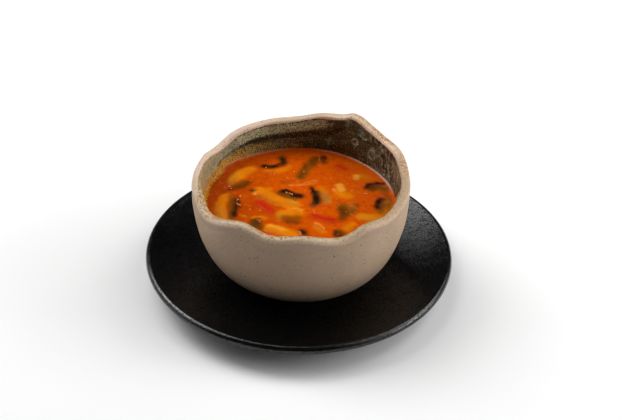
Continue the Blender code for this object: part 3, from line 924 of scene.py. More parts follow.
# Soft strokes of colour for each node: the colour, half the stroke's width, its strength, and the
# places x, y that it runs through, in millimetres from the middle of the node's box.
STAINS = {
    "mushroom_left": (
        ("amber", 3.4, 0.9, 0.5, 9, -2.2, 2, -2.2, -6, 0, -13),
        ("ochre", 1.8, 0.8, -3, -5, -1.5, -9, 0, -14),
        ("tan", 1.2, 0.7, 0, -6, 1.5, -10),
        ("olive", 1.7, 0.85, 3.5, 9, 4, 2, 4.5, -6, 5, -13),
        ("brown", 1.7, 0.7, 6, 5, 6, -4, 6, -12),
        ("smoke", 1.6, 0.9, 7, 6, 7.8, 0, 6.8, -7, 6.6, -12),
        ("black", 0.8, 0.9, 7, 9, 8.6, 3, 9.8, -1.5),
        ("black", 1.2, 0.9, 8.5, 4, 7.4, -4, 7, -11),
    ),
    "mushroom_back_left": (
        ("amber", 3.8, 0.95, 6, 9, 1, 4, -1.5, -2),
        ("ochre", 2.0, 0.9, -0.5, 6, -4.5, 0, -6, -6),
        ("tan", 1.4, 0.6, -3.5, -3, -4, -8),
        ("olive", 2.5, 0.85, 1.5, -6, -1, -9),
        ("brown", 2.5, 0.95, 4.5, -6, 1.5, -10.5, -3, -12),
    ),
    "mushroom_back": (
        ("amber", 1.8, 0.8, -5, -6, 2, -6.5, 6, -5, 8.5, -1),
        ("brown", 2.1, 0.8, -8, -2, -2, -3.5),
        ("smoke", 1.4, 0.7, -7, -1, 0, -1.6),
        ("black", 1.7, 0.95, -7.5, -1.3, -4, -2, 0.5, -1.2, 2.5, 1),
        ("smoke", 2.6, 1.0, 3.8, 9, 5.2, 5, 4.8, 1),
        ("black", 1.4, 0.9, 4.2, 7.5, 4.8, 3),
    ),
    "mushroom_back_centre": (
        ("olive", 3.5, 0.95, 4, 8, 1, 1, -2.5, -6, -4.5, -12),
        ("brown", 2.9, 0.85, 4.5, 8.5, 2.5, 4),
        ("brown", 1.5, 0.8, -1.5, 3, -3.6, -6, -4.8, -12),
        ("brown", 2.5, 0.9, 9, 10, 10.5, 6),
        ("black", 1.5, 1.0, 10.2, 11.5, 10.6, 9.8),
    ),
    "mushroom_centre": (
        ("amber", 4.4, 1.0, -11, 6, -6, 2, -1, -3, 6, -7, 11, -8),
        ("amber", 2.4, 0.9, -12, 8, -6, 8),
        ("cream", 0.7, 0.8, -14.6, 6, -14.4, 3),
        ("ochre", 2.0, 0.8, 8, -4, 11, -7),
        ("olive", 2.1, 0.85, 1, 4, 6, 0, 11, -2),
        ("smoke", 2.8, 0.95, 4, 5.0, 10, 2.2, 15, 2),
        ("black", 1.9, 1.0, 3.5, 6.4, 6.3, 7, 9, 5, 11.5, 2.6, 15, 1.6),
    ),
    "mushroom_centre_right": (
        ("amber", 2.8, 0.8, 0.5, 9, 1.5, 5),
        ("tan", 2.8, 0.9, 1.5, 3, 3, -1, 3, -5),
        ("ochre", 1.0, 0.9, 5.5, -1, 5, -5),
        ("olive", 1.5, 0.9, -2.5, 5, -1.5, -1, -1, -6),
        ("smoke", 2.4, 0.95, -4.2, 4, -2.6, -2, -2.8, -7, -5, -9),
        ("black", 1.5, 1.0, -6.5, 10, -5.2, 5, -3.8, 0, -3.4, -3),
        ("black", 2.1, 1.0, -3.4, -1, -3.6, -6.5),
    ),
    "mushroom_back_right": (
        ("olive", 2.8, 0.9, -2, -2, 4, -2.5, 7, -3.6),
        ("ochre", 1.6, 0.7, 3, -3.5, 7, -4.4),
        ("brown", 2.2, 0.75, -5.5, -2.5, -2, -3.5),
        ("smoke", 1.7, 0.8, -4.5, -0.5, 1, 0.6),
        ("black", 1.7, 1.0, -6, -1.2, -3.5, 2, 1.5, 3.4, 5, 2.8),
    ),
    "mushroom_right": (
        ("ochre", 2.2, 0.9, 1, -7, 3.5, -4, 4, 0),
        ("tan", 2.0, 0.9, 4, 5, 3, -1),
        ("olive", 2.3, 0.8, -2, -8, 0.5, -3),
        ("smoke", 2.0, 0.9, 0.5, 5, -1.5, -1, -2.5, -4),
        ("black", 1.9, 1.0, -1.6, 5.6, -3, 1, -3.8, -2.5),
    ),
    "mushroom_right_centre": (
        ("tan", 2.6, 0.7, 2.5, 6, 3, 1),
        ("olive", 3.7, 0.9, -3, 4, -1, 0, 2.5, -1),
        ("brown", 2.7, 0.9, -4, 0, -2.5, -5, -3.5, -9.5),
        ("smoke", 2.0, 0.7, -2, -4.5, -0.6, -6),
        ("brown", 1.7, 0.6, 5.5, 6.5, 6.5, 5),
    ),
    "mushroom_front_centre": (
        ("amber", 3.6, 1.0, -5, 1, 1, 1.5, 5, 2),
        ("ochre", 1.6, 0.8, -7, 0, -6.5, -4),
        ("cream", 1.2, 0.6, -1, 6, 4, 6.5, 6.6, 5),
        ("olive", 2.5, 0.85, -4, -4, 1.5, -4.5, 5, -3),
        ("brown", 2.1, 0.8, -1.5, -7.6, 4, -8),
    ),
    "mushroom_front_left": (
        ("olive", 3.5, 0.8, -2, 1, 0, -3),
        ("brown", 2.7, 1.0, -1.6, 2.5, 0.5, -3),
        ("smoke", 2.2, 0.9, -0.5, 3, -2, -1),
    ),
    "mushroom_front": (
        ("brown", 2.7, 0.9, 0, 3.5, 1, 0),
        ("black", 1.5, 0.9, -0.5, 3.8, 1, 1),
    ),
    "mushroom_front_right": (
        ("olive", 3.1, 1.0, 1, 2, 2, -2),
        ("brown", 2.5, 0.9, -1, 3, 0, -1),
        ("black", 1.1, 0.9, -2.6, 3.6, -2.5, 0),
    ),
    "mushroom_near_left": (
        ("amber", 3.8, 0.9, -5, -3, 0, 0, 6, 4),
        ("brown", 2.1, 0.9, -6, 2, -1, 4.5, 4, 7),
        ("black", 1.1, 0.9, -7, 3.5, -2, 6.5, 3, 8.5),
    ),
    "mushroom_near_right": (
        ("amber", 3.2, 0.9, -5, -4, 0, 0, 4, 4),
        ("brown", 1.9, 0.9, -4, -6, 1, -2.5, 6, 2),
        ("black", 1.1, 0.9, -3, -7.5, 2.5, -4, 7.5, 1),
    ),
    "stem_right": (
        ("glow", 4.6, 0.9, -1, 0, 4, -3),
        ("amber", 3.4, 1.0, -2, -1, 3, -4),
        ("cream", 2.5, 1.0, -2, 7.2, -0.6, 2.5),
        ("ember", 1.3, 0.9, -5.6, 2.8, -5, 1.5),
    ),
    "stem_back_right": (
        ("glow", 4.2, 0.9, 0, 0, 5, 0),
        ("amber", 2.2, 0.7, 0.5, 1, 3.5, 0.5),
        ("cream", 1.8, 1.0, -2.2, 1.5, -2, -1),
        ("ember", 1.0, 0.8, -4, -1.2, -3, -2),
    ),
    "stem_right_front": (
        ("amber", 3.4, 0.95, -4, 1, 3, 0, 7, 2.5),
        ("ochre", 2.6, 0.95, -3.5, 0, 1, -1, 5, -1.5),
    ),
    "stem_front_centre": (
        ("amber", 1.6, 0.95, -2, 0, 1, -4, 2.5, -6),
        ("ember", 0.9, 1.0, -2.5, 3, 0.5, 1.2, 3, -2.5),
        ("cream", 0.5, 0.6, -2.3, 3, 0.5, 1.3, 2.8, -2),
    ),
    "stem_front_right": (
        ("amber", 2.2, 1.0, -2.2, -3, 1.4, 2.4),
        ("ochre", 1.1, 0.7, -2.6, -1),
    ),
    "stem_front_left": (
        ("amber", 4.2, 1.0, -6, 3.5, -1, 1, 5, -1.5, 8, -3),
        ("cream", 1.8, 0.7, -6.5, 5, -2, 3.5, 2, 1),
        ("ochre", 1.8, 0.6, -2, 1.5, 2, 0.5),
    ),
    "stem_near": (
        ("amber", 3.2, 1.0, -6, 0, 0, 1, 6, 0),
        ("cream", 1.4, 0.8, -5, 1, 4, 1),
    ),
    "chilli_left": (
        ("ruddy", 3.6, 0.7, -3, 2, 3, -4),
        ("red", 1.7, 1.0, -5, 3.6, -0.5, 0.5, 3, -4.5),
    ),
    "chilli_front": (
        ("ruddy", 3.2, 0.7, -6, 1, 6, -3),
        ("red", 1.4, 1.0, -7, 1.6, -1.5, -1, 5.5, -3),
    ),
    "chilli_back": (
        ("ruddy", 2.6, 0.7, -1.5, 1.5, 2.5, -2.5),
        ("red", 0.7, 0.85, -1.6, 1.6, 2.4, -2.5),
    ),
    "soup": (
        ("ember", 0.8, 1.0, -7, 18.3, 0.5, 19.3, 5, 20.8, 9.8, 24.5),
        ("amber", 0.9, 0.9, 3.5, 20.8, 8.5, 23),
        ("olive", 2.2, 0.55, -11, 21.5, -8, 21.8),
        ("black", 0.7, 0.9, -31.4, 11.2, -29.4, 11),
        ("brown", 1.2, 0.9, -32, 11.6, -30.5, 11),
        ("ochre", 1.2, 0.9, -35, -17.5),
        ("amber", 1.6, 0.9, -28, -18, -22.5, -18.3),
        ("black", 0.4, 0.9, -46.4, 11.8, -44, 11.8),
        ("brown", 1.6, 0.55, -49.5, 8, -47, 11),
        # Painted shade: a dark stroke along the broth's right edge, under the bowl's right wall.
        ("brown", 1.8, 0.45, 53, 15, 57, 5, 57, -6),
    ),
}


@cache
def node_middle(node):
    """Middle of a node's box in plan, in millimetres."""
    low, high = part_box(node)
    return np.array((0.5 * (low + high) / MM).xy)


def stain_shares(points):
    """Share of each tint at points of the soup, seen in plan, and of the painted shade across the broth."""
    strokes = [(colour, half, strength, stops_of(route) + node_middle(node))
               for node, rows in STAINS.items() for colour, half, strength, *route in rows]
    x, y = points[:, 0] / MM, points[:, 1] / MM
    wobble = 0.75 * wander(points * (1, 1, 0), 0.0042, 21.0)
    shares = brushed(x, y, strokes, {colour: edge for colour, (_tint, edge) in TINTS.items()}, wobble)
    # Painted shade: this share is 0 on the shaded left of the broth and 1 on the lit right.
    shares["shade"] = smooth(x + 0.25 * y, -52.0, 12.0)
    return shares


def soup_tone(food, choice):
    """Colour of the broth, with what lies in it showing through, and darker towards the left by painted
    shade.
    """
    wide = food.clouds(11.0)
    patch = food.clouds(3.4, detail=3.0, roughness=0.6)
    fine = food.clouds(0.9, roughness=0.6)
    # Painted shade: the shaded broth colour on the left, the broth colour on the right.
    tone = food.mix(food.mask("shade") + (wide - 0.5) * 0.7, tuple(choice.shaded_broth), tuple(choice.broth))
    tone = food.mix(patch.rise(0.52, 0.74) * 0.45, tone, paint(216, 106, 4))
    tone = food.mix(patch.rise(0.46, 0.30) * 0.50, tone, paint(160, 44, 3))
    tone = food.mix(fine.rise(0.60, 0.74) * 0.10, tone, paint(158, 40, 4))
    for name, (tint, _edge) in TINTS.items():
        share = food.mask(name)
        if name in RAGGED:
            share = share * (0.98 + (patch - 0.5) * 1.1 + (fine - 0.5) * 1.3)
        else:
            share = share * (0.95 + (patch - 0.5) * 0.7)
        deeper = tuple(0.86 * part for part in tint)
        tone = food.mix(share, tone, food.mix(wide.rise(0.3, 0.7), deeper, tint))
    return tone, patch, fine


# ---------------------------------------------------------------- mushrooms, stems and chilli


class MorselSettings(bpy.types.PropertyGroup):
    """Carving of the pieces in the soup."""

    gill_spacing: FloatProperty(
        name="Gill spacing", description="Distance from one gill to the next", subtype="DISTANCE",
        unit="LENGTH", default=0.0011)
    gill_depth: FloatProperty(
        name="Gill depth", description="Depth of the grooves between gills", subtype="DISTANCE",
        unit="LENGTH", default=0.00030)
    proud: FloatProperty(
        name="Proud", description="Share of a piece's height over the broth that is left uncovered",
        subtype="FACTOR", min=0.2, max=1.0, default=0.45)


# Lumps of a piece, coarse and fine: height and size in metres, and seed.
MORSEL_LUMPS = ((0.00022, 0.0045, 0.0), (0.00008, 0.0014, 5.0))
# How much less a chilli strip stands proud than the other pieces, and how much smoother it is.
CHILLI_SUNK = 0.4
CHILLI_SMOOTHNESS = 0.45
# Corners of a solid that lie closer than this are one.
WELD = 0.00002


class Morsel:
    """A piece refined from its solid: points, faces, and where each point lies on it.

    along runs from -1 to 1 down the piece's bent middle, across from -1 on the gill side to 1.
    """

    def __init__(self, node, levels, choice):
        self.node = node
        self.seed = 3.7 * sorted(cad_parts).index(node)
        self.points, self.faces = self.refine(levels)
        self.locate()
        self.match_box()
        self.locate()
        self.carve(choice)

    def refine(self, levels):
        """Smooth the solid's faces by subdivision."""
        maker = bmesh.new()
        maker.from_mesh(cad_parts[self.node].data)
        bmesh.ops.remove_doubles(maker, verts=maker.verts, dist=WELD)
        bmesh.ops.join_triangles(maker, faces=maker.faces, angle_face_threshold=radians(50),
                                 angle_shape_threshold=radians(60))
        bmesh.ops.recalc_face_normals(maker, faces=maker.faces)
        mesh = bpy.data.meshes.new("rough " + self.node)
        maker.to_mesh(mesh)
        maker.free()
        rough = bpy.data.objects.new("rough " + self.node, mesh)
        bpy.context.scene.collection.objects.link(rough)
        change = rough.modifiers.new("smooth", "SUBSURF")
        change.levels = change.render_levels = levels
        evaluated = rough.evaluated_get(bpy.context.evaluated_depsgraph_get())
        fine = evaluated.to_mesh()
        flat = np.empty(len(fine.vertices) * 3)
        fine.vertices.foreach_get("co", flat)
        faces = [tuple(face.vertices) for face in fine.polygons]
        evaluated.to_mesh_clear()
        bpy.data.objects.remove(rough)
        bpy.data.meshes.remove(mesh)
        return flat.reshape(-1, 3), faces

    def locate(self):
        """Find each point's place along and across the bent middle line, by a parabola in plan."""
        plan = self.points[:, :2]
        self.middle = 0.5 * (plan.min(0) + plan.max(0))
        _values, axes = np.linalg.eigh(np.cov((plan - plan.mean(0)).T))
        self.heading = axes[:, 1]
        self.side = np.array([-self.heading[1], self.heading[0]])
        self.u = (plan - self.middle) @ self.heading
        self.v = (plan - self.middle) @ self.side
        off = self.v - np.polyval(np.polyfit(self.u, self.v, 2), self.u)
        highest = self.points[:, 2] > np.quantile(self.points[:, 2], 0.85)
        if off[highest].mean() < 0.5 * (off.min() + off.max()):
            self.side, self.v, off = -self.side, -self.v, -off
        self.half_length = 0.5 * (self.u.max() - self.u.min())
        half_width = 0.5 * (off.max() - off.min())
        self.along = (self.u - 0.5 * (self.u.max() + self.u.min())) / self.half_length
        # The piece narrows towards its ends.
        local = half_width * np.maximum(1 - self.along**2, 0.02) ** 0.31
        self.across = np.clip((off - 0.5 * (off.max() + off.min())) / local, -1.3, 1.3)

    def match_box(self):
        """Bring the smoothed piece, which has shrunk, back to its solid's own size."""
        solid = node_points(self.node)
        flat = solid[:, :2] - self.middle
        u, v, z = flat @ self.heading, flat @ self.side, solid[:, 2]
        fitted = []
        for mine, theirs in ((self.u, u), (self.v, v), (self.points[:, 2], z)):
            scale = (theirs.max() - theirs.min()) / (mine.max() - mine.min())
            fitted.append(theirs.min() + (mine - mine.min()) * scale)
        plan = self.middle + np.outer(fitted[0], self.heading) + np.outer(fitted[1], self.side)
        self.points = np.column_stack([plan, fitted[2]])

    def carve(self, choice):
        """Lower what stands proud, and add lumps, and grooves between the gills."""
        proud = np.maximum(self.points[:, 2] - SOUP_LEVEL, 0.0)
        left = choice.proud * (CHILLI_SUNK if self.node.startswith("chilli") else 1.0)
        self.points[:, 2] -= (1.0 - left) * proud
        normals = self.normals()
        relief = lumps(self.points, MORSEL_LUMPS, self.seed)
        if self.node.startswith("mushroom"):
            gill = smooth(-self.across, 0.35, 0.75)
            phase = 2 * pi * self.along * self.half_length / choice.gill_spacing
            phase += 2.2 * wander(self.points, 0.006, self.seed + 9.0)
            relief -= choice.gill_depth * gill * (0.5 + 0.5 * np.sin(phase))
        if self.node.startswith("chilli"):
            relief *= CHILLI_SMOOTHNESS
        self.points = self.points + normals * relief[:, None]

    def normals(self):
        """Normal of the smooth piece at each point."""
        mesh = bpy.data.meshes.new("normals")
        mesh.from_pydata(self.points.tolist(), [], self.faces)
        mesh.update()
        flat = np.empty(len(mesh.vertices) * 3, np.float32)
        mesh.vertices.foreach_get("normal", flat)
        bpy.data.meshes.remove(mesh)
        return flat.reshape(-1, 3).astype(float)


# The slices that are seen best, refined once more than the rest.
FINE_SLICES = ("mushroom_left", "mushroom_back_left", "mushroom_back", "mushroom_centre",
               "mushroom_centre_right", "mushroom_right", "mushroom_back_right", "mushroom_right_centre",
               "mushroom_front_centre")


@cache
def morsel(node):
    """The refined piece for a node, worked out once until the slices are carved anew."""
    return Morsel(node, 4 if node in FINE_SLICES else 3, bpy.context.scene.tomyum_morsels)


def wet_food(name, bumps):
    """Food wet with broth: the soup's own tones over a soft relief."""
    food = Recipe(name)
    tone, patch, fine = soup_tone(food, bpy.context.scene.tomyum_broth)
    return food.surface(
        Base_Color=tone,
        Roughness=0.45,
        Normal=food.relief(patch * bumps + fine * 0.5 * bumps),
        Coat_Weight=0.02,
        Coat_Roughness=0.08,
        Specular_IOR_Level=0.02,
    )


def soup_pieces():
    """Search tree over the faces of every slice, stem and strip."""
    corners, faces = joined([(morsel(node).points, morsel(node).faces) for node in MORSELS])
    return BVHTree.FromPolygons(corners.tolist(), faces)


def dress_morsels(nodes, material, slot):
    """A carved piece for each node."""
    for node in nodes:
        body = morsel(node)
        masks = stain_shares(body.points)
        make_piece(node + "_cooked", body.points, body.faces, material, masks, slot, [node])


class TOMYUM_OT_mushrooms(bpy.types.Operator):
    """Carve the mushroom slices with their gills"""

    bl_idname = "tomyum.mushrooms"
    bl_label = "Mushroom slices"

    def execute(self, context):
        morsel.cache_clear()
        dress_morsels(MUSHROOMS, wet_food("mushroom", 0.06), "mushroom")
        return {"FINISHED"}


class TOMYUM_OT_stems(bpy.types.Operator):
    """Carve the pale mushroom stems"""

    bl_idname = "tomyum.stems"
    bl_label = "Mushroom stems"

    def execute(self, context):
        dress_morsels(STEMS, wet_food("mushroom stem", 0.07), "mushroom_stem")
        return {"FINISHED"}


class TOMYUM_OT_chillies(bpy.types.Operator):
    """Cut the red chilli strips"""

    bl_idname = "tomyum.chillies"
    bl_label = "Chilli strips"

    def execute(self, context):
        dress_morsels(CHILLIES, wet_food("red chilli", 0.04), "red_chilli")
        return {"FINISHED"}


# ---------------------------------------------------------------- broth


class BrothSettings(bpy.types.PropertyGroup):
    """Colour and edges of the broth."""

    broth: FloatVectorProperty(
        name="Broth", description="Colour of the broth", subtype="COLOR", size=3,
        min=0.0, max=1.0, default=paint(203, 79, 2))
    # Painted shade: the darker colour of the broth towards the left.
    shaded_broth: FloatVectorProperty(
        name="Deep broth", description="Colour of the broth away from the pieces on the left",
        subtype="COLOR", size=3, min=0.0, max=1.0, default=paint(168, 61, 1))
    wall_rise: FloatProperty(
        name="Rise at the wall", description="How far the broth climbs the bowl's wall",
        subtype="DISTANCE", unit="LENGTH", default=0.0010)
    cling: FloatProperty(
        name="Cling", description="How far the broth climbs up the pieces",
        subtype="DISTANCE", unit="LENGTH", default=0.00035)


def broth_material(choice):
    """Orange, oily broth that takes the colour of what lies just under it, with a painted highlight along
    its rise at the wall.
    """
    food = Recipe("chilli broth")
    tone, patch, fine = soup_tone(food, choice)
    # Painted highlight: a pale band where the broth rises to the wall.
    tide = food.mask("tide") * food.clouds(5.0).rise(0.30, 0.48)
    tone = food.mix(tide, tone, paint(186, 148, 128))
    crust = food.mix(fine.rise(0.42, 0.56), paint(134, 84, 24), paint(206, 146, 46))
    tone = food.mix(food.mask("crust") * patch.rise(0.30, 0.44), tone, crust)
    return food.surface(
        Base_Color=tone,
        Roughness=0.24,
        Normal=food.relief(patch * 0.08 + fine * 0.02),
        Coat_Weight=0.05,
        Coat_Roughness=0.05,
        Specular_IOR_Level=0.03,
    )


# The painted highlight where the broth rises to the wall, and the ochre crust over it: from and to angle,
# fade, and strength.
MENISCUS_HIGHLIGHT = ((16, 56, 18, 1.1), (62, 80, 16, 0.3), (98, 130, 12, 0.35))
CRUST = ((148, 192, 10, 1.0),)
# Swells of the broth: height and size in metres, and seed.
SWELLS = ((0.00010, 0.013, 2.0), (0.00004, 0.0042, 8.0))
# How far from the wall and from a piece the broth still climbs.
WALL_REACH = 0.0010
CLING_REACH = 0.0008
BROTH_COLUMNS = 480
BROTH_RINGS = 124


def broth_profile(floor):
    """Radius and height of the broth's rings, from its middle out and back under it.

    The third value is the number of rings on its surface.
    """
    edge = WALL_RADIUS + GAP
    top = np.linspace(0.0008, edge - 0.0030, BROTH_RINGS)
    top = np.concatenate([top, edge - np.linspace(0.0027, 0.0, 13)])
    lower = SOUP_LEVEL + (floor + 0.0004 - SOUP_LEVEL) * np.sin(0.5 * pi * np.linspace(0.0, 1.0, 14)[1:-1])
    side = belly_radius(lower, floor, SOUP_LEVEL, WALL_RADIUS) + GAP
    under = np.linspace(side[-1] - 0.004, 0.004, 6)
    under_height = belly_height(under - GAP, floor, SOUP_LEVEL, WALL_RADIUS)
    radius = np.concatenate([top, side, under])
    height = np.concatenate([np.full(len(top), SOUP_LEVEL), lower, under_height])
    radius, height = (np.repeat(column[:, None], BROTH_COLUMNS, 1) for column in (radius, height))
    return radius, height, len(top)


class TOMYUM_OT_broth(bpy.types.Operator):
    """Pour the broth round the pieces"""

    bl_idname = "tomyum.broth"
    bl_label = "Broth"

    def execute(self, context):
        choice = context.scene.tomyum_broth
        radius, height, open_rings = broth_profile(context.scene.tomyum_bowl.floor)
        grid = turned_grid(radius, height, bowl_axis)
        surface = grid[:open_rings]
        to_wall = WALL_RADIUS + GAP - radius[:open_rings]
        turn = round_turns(BROTH_COLUMNS)
        pieces = soup_pieces()
        nearest = [pieces.find_nearest(place)[3] for place in surface.reshape(-1, 3).tolist()]
        distance = np.reshape(nearest, to_wall.shape)
        waves = lumps(surface, SWELLS) * smooth(to_wall, 0.0, 0.003)
        climb = choice.wall_rise * np.exp(-to_wall / WALL_REACH) * (1 + 0.25 * np.sin(5 * turn + 1.0))
        cling = choice.cling * np.exp(-distance / CLING_REACH)
        surface[..., 2] += climb + cling + waves
        # Painted highlight on the broth's edge at the wall, and the ochre crust.
        tide, crust = np.zeros(radius.shape), np.zeros(radius.shape)
        angle = np.degrees(turn) % 360.0
        band = sum(strength * window(angle, *angles) for *angles, strength in MENISCUS_HIGHLIGHT)
        tide[:open_rings] = np.clip(band, 0.0, 1.0) * (1.0 - smooth(to_wall, 0.0010, 0.0018))
        width = 0.0018 + 0.0006 * wander(surface, 0.004, 5.0)
        crust[:open_rings] = stretch(angle, CRUST) * (1.0 - smooth(to_wall, width, width + 0.0008))
        points = with_poles(grid)
        masks = stain_shares(points)
        masks.update(tide=with_poles(tide), crust=with_poles(crust))
        faces = [tuple(reversed(face)) for face in turned_faces(len(radius), BROTH_COLUMNS)]
        make_piece("broth", points, faces, broth_material(choice), masks, "chilli_broth", ["soup"])
        return {"FINISHED"}


# ---------------------------------------------------------------- scraps, flecks and droplets


class ToppingSettings(bpy.types.PropertyGroup):
    """The small things on the broth."""

    droplets: IntProperty(
        name="Droplets", description="Number of oil droplets scattered on the broth", min=0, default=80)
    droplet_radius: FloatProperty(
        name="Droplet radius", description="Radius of the largest droplets", subtype="DISTANCE",
        unit="LENGTH", default=0.00046)
    flecks: IntProperty(
        name="Flecks", description="Number of chilli flecks on the broth", min=0, default=70)
    # Painted highlight: the droplets' pale colour stands for glints of light.
    oil: FloatVectorProperty(
        name="Oil", description="Colour of the droplets", subtype="COLOR", size=3,
        min=0.0, max=1.0, default=paint(255, 156, 58))
    # Painted highlight: the bubbles' pale colour stands for glints on the wet gills.
    foam_and_glint: FloatVectorProperty(
        name="Foam", description="Colour of the fine bubbles on the gills", subtype="COLOR", size=3,
        min=0.0, max=1.0, default=paint(240, 166, 104))


# Small torn scraps: middle x and y, heading, length, width, height over the broth; in mm and degrees.
SCRAPS = (
    (-35.0, -17.5, 20, 3.2, 2.6, 0.4),
    (-25.0, -18.3, 8, 7.0, 2.8, 0.5),
    (-3.5, 18.9, 8, 7.5, 0.9, 0.5),
    (3.0, 20.2, 16, 6.5, 1.0, 0.6),
    (7.8, 22.8, 42, 4.8, 1.1, 0.7),
    (-31.0, 11.0, 15, 4.6, 1.6, 0.4),
    (15.0, 50.5, -70, 3.6, 2.0, 0.5),
    (-45.2, 11.8, 5, 3.6, 1.0, 0.4),
)

# Fine bubbles along a line, pale as painted glints: how many, how far they stray, and the line's
# places in mm from the middle of the node's box.
GLINTING_BUBBLES = {
    "mushroom_left": ((16, 0.9, 6, 10, 7.5, 8, 8, 6), (8, 0.6, 9.4, 11.5, 10, 9.5),
                      (12, 0.6, 8.3, 3, 8.8, 0)),
    "mushroom_back_left": ((14, 0.8, -7.6, -10, -6.2, -12, -4.8, -13),),
    "mushroom_back": ((4, 0.5, -6.2, -2, -5.6, -3), (6, 0.8, 0, -8, -1, -12)),
    "mushroom_back_centre": ((6, 0.7, 6, 12, 6.4, 9, 8, 7), (4, 0.7, -2.6, -6)),
    "mushroom_centre": ((26, 0.6, 5, 5.5, 8, 4.5, 10, 3), (10, 0.5, 9.6, 0.6),
                        (10, 1.2, 10, -6, 12.5, -6.4), (12, 0.7, -15, 5, -14.4, 2)),
    "mushroom_centre_right": ((8, 0.6, -5, -5, -4.6, -7), (4, 0.5, 5.4, -5)),
    "mushroom_right_centre": ((3, 0.4, -1.2, -2.4), (3, 0.4, 4.8, -2.4), (10, 1.0, 1.5, -4.5, 3.5, -5.5)),
    "mushroom_front_left": ((12, 0.7, 0, 4.6, 1.4, 2.6),),
    "mushroom_front": ((18, 0.6, -3.2, 3, -1.5, 1, -0.6, -1.5),),
    "mushroom_front_right": ((12, 0.5, -3.6, 1, -3.4, -2),),
    "mushroom_right": ((6, 0.6, 4.6, 4, 5.4, 1),),
    "soup": ((3, 0.4, -4.7, 26.2), (3, 0.3, 25, -2), (5, 0.8, -21, 30), (6, 1.4, 42, 11),
             (5, 0.8, 33.5, 13.4), (8, 1.4, 8, -9, 9, -13), (3, 0.4, -31.6, -9.6), (4, 0.9, -29.6, 6.8)),
}


# Height in mm that a scrap has under the broth, and the share of its length by which it bends.
SUNK = 0.8
BEND = 0.10
SCRAP_RINGS = 12
SCRAP_TURNS = 16


def scrap(row, seed):
    """Points and faces of one torn scrap, mostly sunk in the broth."""
    x, y, heading, length, width, height = row
    turn = radians(heading)
    tilt = np.linspace(0.09, pi - 0.09, SCRAP_RINGS)[:, None]
    around = np.linspace(0, 2 * pi, SCRAP_TURNS, endpoint=False)
    along = -0.5 * length * np.cos(tilt) + 0 * around
    size = np.sin(tilt) ** 0.7
    side = 0.5 * width * size * np.cos(around) + BEND * length * (2 * along / length) ** 2
    rise = (height + SUNK) * 0.5 * size * np.sin(around) + (height - SUNK) * 0.5
    across = x + along * cos(turn) - side * sin(turn)
    away = y + along * sin(turn) + side * cos(turn)
    grid = np.stack([across, away, SOUP_LEVEL / MM + rise], -1) * MM
    grid += 0.12 * MM * wander(grid, 0.0012, seed)[..., None]
    return with_poles(grid), turned_faces(SCRAP_RINGS, SCRAP_TURNS)


def dome(place, radius, height, turns=12):
    """A droplet's dome with a flat underside just in the broth."""
    x, y, level = place
    rings = [(sin(tilt) * radius, level + height * cos(tilt)) for tilt in (0.30, 0.65, 0.95, 1.25, pi / 2)]
    rings.append((0.9 * radius, level - 0.4 * height))
    around = round_turns(turns)
    grid = np.array([[(x + r * cos(a), y + r * sin(a), z) for a in around] for r, z in rings])
    points = np.concatenate([[(x, y, level + height)], grid.reshape(-1, 3), [(x, y, level - 0.4 * height)]])
    return points, [tuple(reversed(face)) for face in turned_faces(len(rings), turns)]


def scattered(rng):
    """A random place on the broth, as its distance from the middle and its angle."""
    return (SOUP_RADIUS - 0.002) * rng.random() ** 0.5, rng.random()


def on_top(pieces, x, y):
    """The place on the broth, or on the piece that stands out of it, at x and y."""
    hit = pieces.ray_cast(Vector((x, y, SOUP_LEVEL + 0.02)), Vector((0.0, 0.0, -1.0)))[0]
    return x, y, max(SOUP_LEVEL, hit.z if hit else 0.0)


def glinting_oil_droplets(rng, pieces, choice):
    """Domes of oil, most of them small, scattered all over the soup; their pale colour is a painted glint.
    """
    drops = []
    for _k in range(choice.droplets):
        away, share = scattered(rng)
        turn = 2 * pi * share
        radius = choice.droplet_radius * (0.30 + 0.70 * rng.random() ** 3)
        drops.append(dome(on_top(pieces, away * cos(turn), away * sin(turn)), radius, 0.45 * radius))
    return joined(drops)


def glinting_bubbles(rng, pieces):
    """Small high domes in loose rows along the gills; their pale colour is a painted glint on the wet
    gills.
    """
    bubbles = []
    for node, rows in GLINTING_BUBBLES.items():
        middle = node_middle(node)
        for count, stray, *route in rows:
            stops = stops_of(route)
            for part in (np.arange(count) + 0.5) / count * (len(stops) - 1):
                here = [np.interp(part, range(len(stops)), column) for column in stops.T]
                x, y = (here + middle + stray * rng.normal(size=2) * 0.6) * MM
                radius = (0.16 + 0.26 * rng.random() ** 2) * MM
                bubbles.append(dome(on_top(pieces, x, y), radius, 0.8 * radius, 10))
    return joined(bubbles)


def chilli_flecks(rng, choice):
    """Tiny torn flakes scattered all over the soup."""
    flecks = []
    for k in range(choice.flecks):
        away, share = scattered(rng)
        turn = 360 * share  # in radians: many times round
        size = 0.5 + 0.8 * rng.random()
        row = (away * cos(turn) / MM, away * sin(turn) / MM, 360 * rng.random(), size, 0.6 * size, 0.16)
        flecks.append(scrap(row, 30.0 + k))
    return joined(flecks)


def droplet_liquid(name, colour):
    """Shiny liquid of one pale colour that paints the glints of the droplets and bubbles, a little deeper
    in patches.
    """
    food = Recipe(name)
    deeper = tuple(0.72 * part for part in colour)
    tone = food.mix(food.clouds(2.0).rise(0.35, 0.65), tuple(colour), deeper)
    return food.surface(Base_Color=tone, Roughness=0.4, Specular_IOR_Level=0.03)


def chilli_skin():
    """Dark red skin with a fine wrinkle."""
    food = Recipe("chilli flecks")
    tone = food.mix(food.clouds(1.6).rise(0.4, 0.6), paint(140, 26, 4), paint(84, 26, 6))
    relief = food.relief(food.clouds(0.5) * 0.1)
    return food.surface(Base_Color=tone, Roughness=0.4, Normal=relief, Specular_IOR_Level=0.2)


